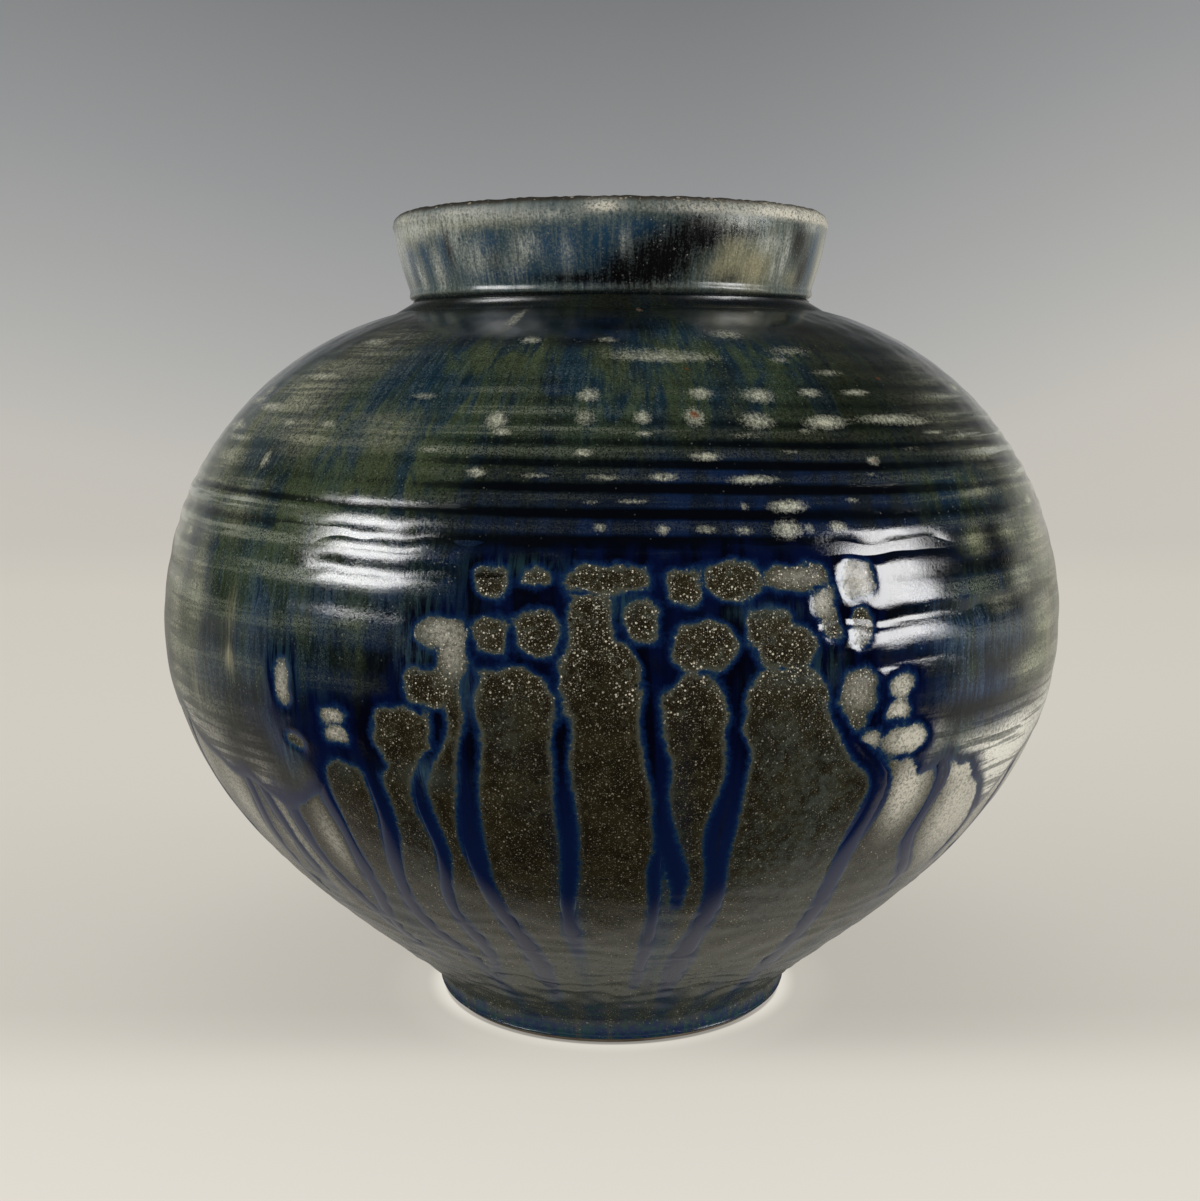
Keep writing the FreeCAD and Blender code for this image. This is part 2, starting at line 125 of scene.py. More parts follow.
def jar_outline():
    outline = Outline()
    foot_tilt = math.radians(foot_lean)
    wall_tilt = math.radians(wall_foot_lean)
    foot_facing = np.array([math.cos(foot_tilt), -math.sin(foot_tilt)])
    heights = np.linspace(0, foot_height, 40)
    side = np.c_[foot_radius + heights * math.tan(foot_tilt), heights]
    outline.add(side, np.repeat([foot_facing], 40, axis=0), "foot")
    centre = side[-1] + foot_facing * foot_round
    outline.add(*arc_points(centre, -foot_round, -foot_tilt, -wall_tilt, -1), "foot_round")
    outline.normals[-120:] = [-normal for normal in outline.normals[-120:]]
    start = outline.points[-1]
    chord = math.hypot(belly_radius - start[0], belly_height - start[1])
    lean = np.array([math.sin(wall_tilt), math.cos(wall_tilt)])
    corners = np.array([
        start, start + lean * foot_pull * chord,
        (belly_radius, belly_height - belly_pull * chord), (belly_radius, belly_height)])
    share = np.linspace(0, 1, 600)[:, None]
    rest = 1 - share
    wall = (corners[0] * rest ** 3 + corners[1] * 3 * rest ** 2 * share
            + corners[2] * 3 * rest * share ** 2 + corners[3] * share ** 3)
    slope = np.gradient(wall, axis=0)
    slope /= np.hypot(*slope.T)[:, None]
    slope[-1] = (0, 1)
    outline.add(wall, np.c_[slope[:, 1], -slope[:, 0]], "belly")
    shoulder_centre = np.array([belly_radius - shoulder_radius, belly_height])
    reach = shoulder_radius + neck_round
    offset = neck_radius + neck_round - shoulder_centre[0]
    end = math.acos(offset / reach)
    neck_centre = np.array([neck_radius + neck_round, belly_height + reach * math.sin(end)])
    outline.add(*arc_points(shoulder_centre, shoulder_radius, 0, end, 1, 500), "shoulder")
    collar_tilt = math.radians(collar_lean)
    outline.add(*arc_points(neck_centre, -neck_round, end, 0, -1, 60), "neck")
    outline.add(*arc_points(neck_centre, -neck_round, 0, -collar_tilt, -1, 30), "collar_foot")
    outline.normals[-90:] = [-normal for normal in outline.normals[-90:]]
    collar_facing = np.array([math.cos(collar_tilt), -math.sin(collar_tilt)])
    collar_start = np.array(outline.points[-1])
    half = collar_wall / 2
    lip_centre = np.array([lip_radius - half, neck_centre[1] + collar_height - half])
    chord = lip_centre - collar_start
    radius = (chord @ chord - half ** 2) / (-collar_wall - 2 * chord @ collar_facing)
    collar_centre = collar_start - collar_facing * radius
    lip_angle = math.atan2(*(lip_centre - collar_centre)[::-1])
    outline.add(*arc_points(collar_centre, radius, -collar_tilt, lip_angle, 1), "collar")
    outline.add(*arc_points(lip_centre, half, lip_angle, lip_angle + math.pi, 1), "lip")
    outline.add(*arc_points(collar_centre, radius - collar_wall, lip_angle, -collar_tilt, -1), "inner_collar")
    outline.add(*arc_points(neck_centre, -neck_round - collar_wall, -collar_tilt, end, -1), "inner_neck")
    # The inside of the two bowls keeps the wall's thickness, which thins towards the neck
    shoulder = np.arange(len(side) + 120 + 600, len(side) + 120 + 600 + 500)[::-1]
    low_wall = np.arange(len(side) + 120, len(side) + 120 + 600)[::-1]
    points = np.array(outline.points)
    normals = np.array(outline.normals)
    thickness = np.linspace(collar_wall, wall_thickness, 500)[:, None]
    outline.add(points[shoulder] - normals[shoulder] * thickness, -normals[shoulder], "inner_belly")
    thickness = np.linspace(wall_thickness, foot_wall_thickness, 600)[:, None]
    inside = points[low_wall] - normals[low_wall] * thickness
    corner = floor_height + corner_rise
    above = inside[:, 1] > corner
    outline.add(inside[above], -normals[low_wall][above], "inner_corner")
    meet = math.atan2(*(-normals[low_wall][above][-1])) + math.pi
    outline.add(*arc_points((floor_radius, floor_height + floor_round), floor_round,
                            -math.pi / 2 + (math.pi - abs(meet)), -math.pi / 2, -1), "floor_edge")
    centre_line = np.c_[np.linspace(floor_radius, 0, 60), np.full(60, floor_height)]
    outline.add(centre_line, np.repeat([[0.0, 1.0]], 60, axis=0), "floor")
    outline.finish()
    return outline


wall = jar_outline()


def smooth(low, high, value):
    """Smooth step from 0 at low to 1 at high."""
    share = np.clip((value - low) / (high - low), 0, 1)
    return share * share * (3 - 2 * share)


def soft_min(first, second, round_off):
    """Smaller of two distances, with the corner between them rounded."""
    blend = np.clip(0.5 + 0.5 * (second - first) / round_off, 0, 1)
    return second + (first - second) * blend - round_off * blend * (1 - blend)


def soft_max(first, second, round_off):
    return -soft_min(-first, -second, round_off)


def ripple(bearing, run, *waves):
    """Sum of slow waves, each (height, turns round, length up the wall, shift)."""
    total = np.zeros_like(bearing)
    for height, turns, length, shift in waves:
        total += height * np.sin(np.radians(bearing) * turns + 2 * np.pi * run / length + shift)
    return total


# Throwing rings: height of each crest at the front, and how strongly it stands out
ring_crests = (
    (86, 0.25), (98, 0.4), (110, 0.6), (122, 0.8), (133, 0.9), (140, 1.0), (146.5, 1.1), (151.6, 1.2),
    (156.9, 1.1), (161.5, 1.2), (165.7, 0.9), (170, 0.6), (174.4, 0.55), (178.5, 0.35), (182.6, 0.35),
    (187, 0.25), (191, 0.2), (194, 0.15))
RING_RISE = 0.12
RING_TILT = 0.026


# Narrow grooves that break the light, as (bearing, height, half width in degrees, half height, depth)
narrow_grooves = (
    (-27, 143.8, 15, 2.0, 0.34), (-26, 136.3, 15, 1.35, 0.30), (25, 140.9, 14, 1.6, 0.66),
    (31, 125.2, 16, 1.6, 0.66), (30, 116.4, 15, 1.1, 0.26))


def groove_depth(bearing, run):
    depth = np.zeros_like(bearing)
    for centre, height, half_turn, half_height, cut in narrow_grooves:
        along = run - wall.run_at(height) - ripple(bearing, run, (0.5, 33, 1e6, 0.4), (0.3, 57, 1e6, 2.0))
        across = np.abs(sideways(bearing, centre)) / half_turn
        depth += cut * np.exp(-(along / half_height) ** 2) * (1 - smooth(0.8, 1.3, across))
    return depth


def ring_wave(bearing, run):
    """How far the throwing rings stand out, from -1 in a groove to about 1 on a crest, and their strength."""
    crest_runs = wall.run_at(np.array([height for height, strength in ring_crests]))
    strengths = np.array([strength for height, strength in ring_crests])
    level = run + RING_TILT * belly_radius * np.sin(np.radians(bearing))
    level = level + ripple(bearing, run, (0.25, 3, 400, 1.0), (0.2, 7, 300, 0.3))
    phase = np.interp(level, crest_runs, np.arange(len(crest_runs)))
    strength = np.interp(level, crest_runs, strengths, left=0, right=0)
    strength = strength * smooth(crest_runs[0] - 12, crest_runs[0] + 4, level)
    strength = strength * (1 + ripple(bearing, run, (0.25, 4, 90, 0.7), (0.2, 9, 60, 2.0)))
    # One ring sinks away on the right of the front
    right = smooth(12, 24, bearing) * (1 - smooth(62, 80, bearing))
    strength = strength * (1 - 1.4 * right * np.exp(-((run - wall.run_at(139.5)) / 3.4) ** 2))
    strength = strength * (1 - 0.85 * right * np.exp(-((run - wall.run_at(148.2)) / 2.6) ** 2))
    # Crests are broad and grooves narrow, as a rib leaves them
    left = smooth(-16, -30, bearing) * smooth(-95, -75, bearing)
    strength = strength * (1 - 0.75 * left * smooth(wall.run_at(149), wall.run_at(156), run))
    return 1 - 2 * (0.5 - 0.5 * np.cos(2 * np.pi * phase)) ** 1.9, strength


# Brown cells in the blue glaze, as (bearing, height, half width in degrees, half height in millimetres)
brown_cells = (
    (-12.5, 135.5, 1.8, 3.2), (-8, 136.5, 1.4, 1.7), (-0.8, 136.2, 4.4, 2.8), (7, 134.5, 1.8, 3.8),
    (12, 135.5, 3.0, 4.0), (18.8, 135.6, 3.5, 2.6), (21.7, 130, 1.3, 3.2), (26, 134.5, 2.0, 4.0),
    (22.4, 125, 1.0, 3.4), (-17.5, 124.5, 2.8, 3.2), (-16.2, 119, 1.6, 4), (-12.3, 124.5, 1.8, 3.9),
    (-7.6, 125, 2.2, 5.0), (-2.4, 127, 2.3, 6.5), (-1.6, 115, 4.0, 9), (2.6, 127.5, 1.7, 4.6),
    (8.8, 122, 3.2, 5.2), (15.6, 125, 2.6, 4.6), (17.4, 121, 3.2, 4.5), (26, 124, 1.2, 4.0),
    (-19, 112.5, 2.6, 4.4), (-10, 108, 4.0, 9.5), (8, 106, 3.1, 10), (17.5, 107, 4.6, 10),
    (25.4, 110, 2.3, 5.2), (25.6, 104, 1.1, 2.4), (31, 110.5, 1.5, 2.6), (30.6, 104.8, 1.5, 2.0),
    (27.5, 98.6, 1.3, 2.4), (32, 97.5, 3.0, 3.3), (-22.4, 102, 3.2, 5.5), (-21.6, 97, 3.0, 3.5),
    (-37.5, 110, 1.1, 5.5), (-30.6, 104, 1.6, 1.8), (-30.2, 99.8, 1.7, 1.8), (-31.0, 82, 2.3, 11),
    (-24.2, 80, 2.2, 9), (-37.8, 62, 2.6, 16), (-44.5, 60, 2.8, 18), (33.0, 80, 2.4, 12),
    (43.5, 76, 3.0, 11), (-36.5, 96.5, 1.2, 1.2))

# Height of the blue glaze's lower edge, at bearings all round
blue_edge = (
    (-180, 101), (-160, 92), (-143, 104), (-126, 93), (-108, 104), (-92, 92), (-75, 99), (-60, 88),
    (-50, 82), (-44, 78), (-38, 80), (-31, 90), (-25, 94), (-20, 104), (-16, 116), (-10, 116), (0, 114),
    (10, 112), (20, 112), (24, 102), (30, 92), (34, 88), (39, 92), (45, 84), (54, 72), (62, 82), (78, 94),
    (95, 87), (112, 100), (130, 88), (150, 103), (166, 92), (180, 101))

# Raised trails of blue glaze, as (width share, path), with a path of
# (bearing, height as a share of the belly's height)
glaze_trails = (
    (0.95, ((-38, 1.10), (-40, 0.92), (-41, 0.75), (-41, 0.58), (-39, 0.43), (-38, 0.30))),
    (0.9, ((-33, 0.92), (-34, 0.78), (-33, 0.64), (-34, 0.50), (-37, 0.38), (-37, 0.26))),
    (1.0, ((-26, 1.02), (-27, 0.88), (-26, 0.72), (-28, 0.56), (-29, 0.43), (-26, 0.31), (-25, 0.15))),
    (0.8, ((-19, 1.03), (-18, 0.92), (-21, 0.79), (-20, 0.65), (-22, 0.50), (-21, 0.36), (-23, 0.24))),
    (1.1, ((-15, 1.06), (-14, 0.97), (-15, 0.86), (-16, 0.68), (-15, 0.50), (-13, 0.36), (-13, 0.17))),
    (0.9, ((-6, 1.06), (-5.5, 0.96), (-5.4, 0.84), (-5, 0.66), (-6, 0.50), (-5.6, 0.36))),
    (1.0, ((4, 1.05), (3.5, 0.95), (4.4, 0.85), (5.2, 0.72), (7.4, 0.60), (7.8, 0.52))),
    (0.7, ((5.2, 0.72), (4.6, 0.62), (5, 0.50), (4.6, 0.36), (4, 0.22))),
    (1.25, ((13, 1.06), (12, 0.97), (12.5, 0.85), (11.4, 0.69), (12.4, 0.52), (11, 0.36), (11, 0.17))),
    (1.25, ((22, 1.09), (23, 0.98), (26, 0.87), (30, 0.78), (28.6, 0.62), (30, 0.44), (32, 0.28),
            (32, 0.15))),
    (1.0, ((36, 1.00), (37, 0.86), (40, 0.76), (39, 0.62), (44, 0.50), (45, 0.40))),
    (0.9, ((50, 1.10), (52, 0.92), (50, 0.76), (54, 0.60), (53, 0.44))),
    (1.0, ((-50, 1.08), (-51, 0.90), (-49, 0.72), (-51, 0.55), (-50, 0.36))),
    (0.95, ((-45, 0.90), (-46, 0.74), (-45, 0.58), (-46, 0.44))),
    (1.0, ((62, 1.12), (63, 0.90), (61, 0.70), (62, 0.50), (60, 0.34))),
    (0.8, ((73, 1.14), (72, 0.96), (74, 0.78), (73, 0.62), (73, 0.46))),
    (1.2, ((86, 1.08), (85, 0.88), (87, 0.68), (86, 0.46), (88, 0.26), (87, 0.15))),
    (0.8, ((98, 1.12), (99, 0.92), (97, 0.75), (99, 0.58), (98, 0.44))),
    (1.1, ((111, 1.15), (110, 0.94), (112, 0.72), (110, 0.52), (111, 0.30))),
    (0.8, ((122, 1.10), (123, 0.95), (121, 0.80), (122, 0.62))),
    (1.2, ((134, 1.13), (135, 0.92), (133, 0.70), (134, 0.48), (132, 0.30), (133, 0.16))),
    (0.9, ((147, 1.12), (146, 0.90), (148, 0.70), (147, 0.54), (148, 0.36))),
    (1.0, ((159, 1.14), (160, 0.96), (158, 0.76), (160, 0.58), (159, 0.32))),
    (0.8, ((171, 1.10), (172, 0.94), (170, 0.78), (171, 0.60))),
    (1.2, ((183, 1.15), (182, 0.93), (184, 0.71), (183, 0.50), (185, 0.32), (184, 0.16))),
    (0.8, ((195, 1.12), (196, 0.94), (194, 0.76), (195, 0.62), (196, 0.46))),
    (1.1, ((208, 1.13), (207, 0.92), (209, 0.70), (207, 0.50), (208, 0.28))),
    (0.8, ((220, 1.10), (221, 0.95), (219, 0.82), (220, 0.60))),
    (1.0, ((232, 1.14), (231, 0.92), (233, 0.72), (232, 0.54), (234, 0.34))),
    (0.8, ((244, 1.11), (245, 0.94), (243, 0.78), (244, 0.64), (243, 0.46))),
    (1.2, ((257, 1.10), (256, 0.90), (258, 0.70), (257, 0.48), (255, 0.30), (256, 0.15))),
    (0.9, ((270, 1.13), (271, 0.93), (269, 0.74), (270, 0.58), (271, 0.40))),
    (1.0, ((283, 1.12), (282, 0.92), (284, 0.70), (283, 0.50), (284, 0.32))),
    (0.9, ((296, 1.10), (297, 0.90), (295, 0.72), (297, 0.56), (296, 0.42))),
)
TRAIL_WIDTH = 4.9
TRAIL_STEPS = 40

# Blue pools that gathered at the foot, as (bearing, height, half width in degrees, half height)
foot_pools = (
    (-58, 3.5, 5, 3.5), (-45, 4.5, 4, 4), (-24, 5, 7, 4.5), (-6, 3.5, 6, 3.2), (9, 4, 8, 4.0),
    (33, 4.5, 8, 4.5), (52, 4, 4, 3.5), (75, 4, 9, 4), (104, 4, 7, 3.5), (133, 5, 9, 5), (160, 3.5, 6, 3),
    (184, 5, 9, 5), (212, 4, 7, 3.5), (236, 4, 6, 4), (256, 5, 9, 5), (282, 4, 6, 3.5))


def sideways(bearing, other):
    """Degrees from one bearing to another, the short way round."""
    return (bearing - other + 180) % 360 - 180


def blob_distance(bearing, run, place, power=2.6):
    """Millimetres from a rounded patch on the wall, less than 0 inside it."""
    centre, height, half_turn, half_height = place
    radius = np.interp(run, wall.run, wall.r)
    across = np.abs(np.radians(sideways(bearing, centre))) * radius
    along = np.abs(run - wall.run_at(height))
    half_width = math.radians(half_turn) * np.interp(wall.run_at(height), wall.run, wall.r)
    half_run = (wall.run_at(height + half_height) - wall.run_at(height - half_height)) / 2
    size = ((across / half_width) ** power + (along / half_run) ** power) ** (1 / power) + 1e-6
    slope = np.hypot((across / half_width / size) ** (power - 1) / half_width,
                     (along / half_run / size) ** (power - 1) / half_run)
    return np.clip((size - 1) / np.maximum(slope, 1e-3), -min(half_width, half_run), None)


def trail_path(path):
    """Smooth line through a trail's points, as bearings and runs."""
    points = np.array([(bearing, wall.run_at(share * belly_height)) for bearing, share in path], float)
    ends = np.vstack([2 * points[0] - points[1], points, 2 * points[-1] - points[-2]])
    line = []
    for index in range(len(points) - 1):
        before, start, end, after = ends[index:index + 4]
        for share in np.linspace(0, 1, 9)[:-1]:
            line.append(0.5 * (2 * start + (end - before) * share
                               + (2 * before - 5 * start + 4 * end - after) * share ** 2
                               + (3 * start - before - 3 * end + after) * share ** 3))
    line.append(points[-1])
    return np.array(line)


def trail_half_width(width_share, share):
    """Half of a trail's width at shares of its length: slim at the top, fuller at its rounded end."""
    taper = (smooth(-0.02, 0.16, share) * 0.45 + 0.55) * (1 - 0.45 * smooth(0.86, 1.0, share))
    swell = 1 + 0.13 * np.sin(share * 17 + width_share * 40) + 0.08 * np.sin(share * 31 + width_share * 90)
    return TRAIL_WIDTH / 2 * width_share * taper * swell


def trail_distance(bearing, run):
    """Millimetres inside the nearest blue trail, less than 0 outside."""
    inside = np.full_like(bearing, -30.0)
    radius = np.interp(run, wall.run, wall.r)
    for width_share, path in glaze_trails:
        line = trail_path(path)
        near = np.abs(sideways(bearing, line[:, 0].mean())) < 14
        near &= (run > line[-1, 1] - 14) & (run < line[0, 1] + 14)
        if not near.any():
            continue
        place = np.stack([np.radians(sideways(bearing[near], line[0, 0])) * radius[near], run[near]])
        best = np.full(near.sum(), 1e9)
        half = np.zeros(near.sum())
        shares = np.linspace(0, 1, len(line))
        for index in range(len(line) - 1):
            start = np.stack([np.radians(sideways(line[index, 0], line[0, 0])) * radius[near],
                              np.full(near.sum(), line[index, 1])])
            end = np.stack([np.radians(sideways(line[index + 1, 0], line[0, 0])) * radius[near],
                            np.full(near.sum(), line[index + 1, 1])])
            step = end - start
            along = np.clip(((place - start) * step).sum(0) / (step * step).sum(0), 0, 1)
            gap = np.hypot(*(place - start - step * along))
            width = trail_half_width(width_share, shares[index] + along * (shares[1] - shares[0]))
            closer = gap - width < best
            best = np.where(closer, gap - width, best)
            half = np.where(closer, width, half)
        inside[near] = soft_max(inside[near], -best, 1.4)
    return inside


def blue_depth(bearing, run):
    """Millimetres inside the blue glaze, less than 0 on the brown ground: the net alone, and all of it."""
    edge_bearings, edge_heights = np.array(blue_edge, float).T
    edge = np.interp(sideways(bearing, 0), edge_bearings, wall.run_at(edge_heights))
    net = run - edge - ripple(bearing, run, (1.5, 23, 500, 0.4), (1.0, 41, 300, 1.4))
    cells = np.full_like(bearing, 60.0)
    for cell in brown_cells:
        cells = soft_min(cells, blob_distance(bearing, run, cell), 0.8)
    cells = cells + ripple(bearing, run, (0.3, 90, 9, 0.2), (0.22, -130, 6.5, 1.0), (0.2, 61, 13, 2.2))
    net = soft_min(net, cells, 1.2)
    trails = trail_distance(bearing, run)
    trails = soft_min(trails, cells + 40 * (1 - smooth(92, 99, np.interp(run, wall.run, wall.z))), 0.8)
    whole = soft_max(net, trails, 1.8)
    return net, whole


# Patches of colour on the wall, as (bearing, height, half width in degrees, half height, strength)
pale_spots = (
    (-14.5, 168.5, 1.5, 1.8, 0.9), (-13.5, 166.0, 1.2, 0.8, 0.9), (-15.5, 157.5, 1.3, 0.9, 0.9),
    (-13.5, 186.0, 2.2, 0.9, 0.6), (-3.5, 161.5, 1.0, 0.5, 0.7), (3.5, 169.0, 1.2, 1.5, 0.8),
    (3.5, 165.5, 1.0, 0.5, 0.9), (10.0, 169.0, 1.5, 2.2, 0.7), (10.5, 160.7, 2.0, 0.8, 0.9),
    (5.5, 156.6, 1.6, 0.8, 0.9), (15.5, 155.8, 3.0, 0.9, 0.9), (19.0, 150.2, 2.2, 1.2, 1.1),
    (18.5, 145.5, 1.8, 2.0, 0.8), (19.5, 173.5, 2.5, 1.6, 0.8), (27.5, 174.0, 2.0, 1.1, 0.7),
    (35.5, 174.0, 2.8, 0.7, 0.8), (27.5, 167.5, 3.2, 1.6, 0.9), (18.0, 168.0, 2.5, 1.9, 0.7),
    (38.5, 168.0, 6.5, 1.1, 0.7), (55.5, 172.5, 6.2, 0.5, 0.4), (32.0, 159.0, 1.0, 1.0, 0.8),
    (-3.0, 174.0, 1.5, 1.6, 0.5), (11.5, 174.0, 1.8, 1.4, 0.7), (-3.5, 169.0, 1.5, 2.0, 0.5),
    (6, 183.0, 10, 1.6, 0.35), (20.0, 187.5, 3.8, 1.4, 0.45), (-1.0, 186.0, 2.2, 0.7, 0.5),
    (29.0, 183.5, 5, 1.4, 0.4), (-1.5, 146.5, 0.8, 0.9, 0.7), (5.0, 146.0, 0.8, 1.1, 0.7),
    (9.5, 146.0, 1.1, 0.9, 0.7), (13.5, 145.5, 1.3, 0.9, 0.6), (21.0, 145.5, 0.5, 0.9, 0.7),
    (24.5, 145.5, 1.2, 1.2, 0.8), (-2.5, 151.5, 1.0, 0.5, 0.5), (3.0, 151.5, 0.8, 0.4, 0.5),
    (14.0, 150.5, 0.7, 0.9, 0.5), (-1.0, 156.7, 2.5, 0.7, 0.5), (6.0, 193.5, 0.8, 0.5, 0.5),
    (-19.5, 191.5, 1.6, 3.0, 0.5), (-39.5, 167.0, 1.5, 0.8, 0.8), (-48.0, 167.0, 2.2, 0.9, 0.6),
    (-48.5, 158.5, 1.0, 2.5, 0.6), (-50, 178, 6, 0.8, 0.7), (-57, 170.5, 5, 0.9, 0.8),
    (-61, 163, 6, 0.8, 0.7), (-46, 186, 5, 1.0, 0.6), (-66, 172, 5, 1.0, 0.8), (-3.5, 161.8, 1.2, 0.7, 0.7),
    (21, 161.2, 1.6, 0.4, 0.6), (24, 165.6, 1.4, 0.6, 0.5), (46, 164.6, 3.0, 0.5, 0.6),
    (52, 163.5, 1.6, 0.8, 0.5), (-3.5, 173.4, 1.2, 1.0, 0.6), (33, 178.5, 3.4, 0.8, 0.5),
    (8, 181.8, 9, 1.1, 0.5), (26, 181.4, 2.0, 0.8, 0.5), (16, 164.8, 2.2, 0.5, 0.5),
    (1.5, 151.8, 1.6, 0.5, 0.6), (27, 150.8, 1.4, 0.6, 0.5), (31, 156.0, 1.0, 0.5, 0.5),
    (-9, 157.0, 2.0, 0.6, 0.5), (-22, 162.0, 1.6, 0.6, 0.5), (-26, 173.5, 2.4, 0.8, 0.5),
    (-37.5, 116.0, 0.6, 1.2, 0.5), (43.0, 167.0, 5.2, 0.8, 0.5), (39.5, 161.2, 4, 0.5, 0.3))
olive_patches = (
    (-16.5, 182.5, 7, 3.4, 0.9), (-6, 179, 5, 2.6, 0.5), (5, 183, 8, 2.0, 0.6), (14, 170, 8, 4, 0.35),
    (-34, 158, 8, 14, 0.6), (-24.5, 158.5, 6, 8, 0.8), (-31.0, 166.0, 6, 6, 0.7), (-37.0, 146.0, 5, 9, 0.6),
    (-21.0, 183.0, 2.6, 3.4, 1.0), (-12.0, 182.5, 2.2, 3.6, 1.0), (-30, 150, 6, 7, 0.5),
    (-45, 140, 8, 14, 0.5), (7, 182.5, 12, 2.4, 0.9), (30, 182, 10, 4, 0.5), (-27.5, 122, 1.4, 9, 0.5),
    (-35, 126, 1.2, 8, 0.35), (-57, 125, 3, 16, 0.5), (-70, 130, 8, 22, 0.6), (-60, 160, 10, 14, 0.6),
    (-18, 171, 10, 5, 0.7), (8, 176, 16, 7, 0.45), (53.5, 141.0, 2.6, 2.4, 1.1), (44.5, 140, 2.4, 2.6, 0.9),
    (54.0, 129.5, 2.6, 3.4, 1.1), (62, 136, 6, 14, 0.9), (60.0, 119, 4, 8, 1.0), (56, 108, 4, 5, 0.8),
    (72, 120, 9, 26, 0.9), (70, 150, 10, 10, 0.7), (45, 152, 10, 4, 0.4), (85, 140, 10, 22, 0.6),
    (100, 160, 12, 14, 0.6), (118, 135, 9, 16, 0.7), (140, 170, 14, 12, 0.6), (150, 130, 8, 18, 0.6),
    (172, 150, 12, 20, 0.6), (192, 125, 8, 12, 0.6), (205, 170, 12, 12, 0.7), (222, 140, 9, 20, 0.6),
    (240, 165, 12, 14, 0.6), (258, 130, 10, 20, 0.6), (276, 160, 12, 14, 0.7))
teal_patches = (
    (-56, 104, 8, 12, 0.9), (-44, 112, 5, 10, 0.7), (-34, 116, 4, 8, 0.5), (-68, 100, 8, 14, 0.9),
    (-28, 128, 5, 8, 0.5), (-30, 178, 18, 12, 0.9), (-50, 172, 14, 16, 0.9), (-5, 174, 14, 10, 0.8),
    (12, 186, 10, 4, 0.8), (-60, 140, 14, 22, 0.7), (-40, 132, 10, 14, 0.6), (-22, 134, 6, 10, 0.6),
    (22, 176, 12, 6, 0.35), (45, 128, 7, 5, 0.7), (40, 117.5, 4, 6, 0.9), (50, 116, 5, 5, 0.6),
    (41, 111, 3, 3, 0.8), (41, 94, 4, 5, 0.9), (52, 88, 6, 8, 0.8), (46, 150, 10, 6, 0.4),
    (75, 110, 12, 20, 0.6), (15, 128.5, 3.4, 1.6, 0.7), (-20.5, 121, 1.6, 4, 0.8), (-20, 92, 3, 3, 0.9),
    (-15, 113, 1.4, 4, 0.5), (1.0, 131, 1.2, 3, 0.8), (21, 117, 2.0, 3, 0.6), (17, 114, 3, 2, 0.5),
    (-10, 138.6, 5, 2, 0.6), (-37.5, 92, 1.4, 5, 0.8), (-30, 91, 1.6, 3, 0.6), (95, 175, 20, 14, 0.6),
    (125, 150, 16, 16, 0.6), (160, 180, 20, 10, 0.6), (185, 140, 14, 20, 0.6), (230, 178, 20, 14, 0.7),
    (210, 150, 12, 14, 0.5), (265, 145, 14, 20, 0.6), (285, 175, 14, 14, 0.7))
navy_patches = (
    (10, 148, 26, 8, 1.0), (5, 139, 32, 4, 1.0), (14, 157, 18, 5, 0.8), (-2, 188, 9, 4, 1.0),
    (35, 196, 22, 4, 0.7), (-26, 190, 12, 6, 0.6), (-38, 182, 10, 10, 0.7), (-30, 172, 4, 12, 0.6),
    (-8, 176, 3, 10, 0.7), (46, 133, 9, 10, 0.8), (36, 120, 8, 16, 0.9), (44, 104, 8, 10, 0.7),
    (-35, 104, 10, 12, 0.8), (-20, 126, 8, 10, 0.7), (-15, 132, 5, 8, 0.8), (38, 150, 10, 4, 0.6),
    (0, 126, 40, 20, 0.7), (70, 185, 14, 10, 0.5), (105, 120, 20, 16, 0.7), (135, 150, 12, 10, 0.6),
    (165, 125, 18, 16, 0.7), (200, 110, 16, 12, 0.7), (225, 125, 18, 16, 0.7), (250, 110, 14, 10, 0.6),
    (290, 120, 14, 14, 0.6), (180, 175, 16, 10, 0.6), (270, 185, 16, 8, 0.6))
ashy_patches = (
    (-54, 100, 5, 8, 0.25), (-58, 112, 3, 4, 0.4), (52, 168, 7, 6, 0.3), (60, 178, 8, 5, 0.3),
    (74, 164, 8, 10, 0.8), (53.5, 141, 2.6, 2.2, 0.9), (45, 140, 2.2, 2.4, 0.8), (54, 129.5, 2.6, 3.2, 0.9),
    (61, 119, 4, 7, 1.0), (63, 138, 6, 6, 0.9), (56, 108, 5, 4, 0.8), (70, 126, 7, 8, 0.9),
    (66, 150, 8, 6, 0.8), (72, 104, 8, 9, 0.8), (49, 151, 3.5, 1.6, 0.6), (58, 160, 7, 4, 0.5),
    (48, 125, 2.4, 2.0, 0.6), (77, 140, 8, 12, 0.8), (66, 112, 3, 5, 0.7), (-56, 128, 2.4, 12, 0.7),
    (-63, 120, 3, 16, 0.8), (-70, 134, 6, 16, 0.8), (-60, 158, 5, 8, 0.8), (-52, 174, 9, 7, 0.9),
    (-44, 184, 9, 6, 0.6), (-50, 148, 3.4, 6, 0.6), (-42, 165, 6, 4, 0.7), (-64, 96, 4, 14, 0.6),
    (-30, 166, 5, 4, 0.5), (-76, 156, 8, 12, 0.7), (66, 176, 10, 6, 0.25), (92, 128, 6, 16, 0.7),
    (106, 148, 7, 10, 0.6), (128, 122, 5, 12, 0.7), (143, 150, 8, 10, 0.6), (158, 112, 4, 12, 0.6),
    (176, 160, 9, 8, 0.6), (190, 130, 6, 14, 0.7), (214, 148, 8, 10, 0.6), (236, 120, 6, 14, 0.7),
    (250, 156, 8, 9, 0.6), (268, 130, 6, 14, 0.7), (284, 150, 7, 10, 0.7))
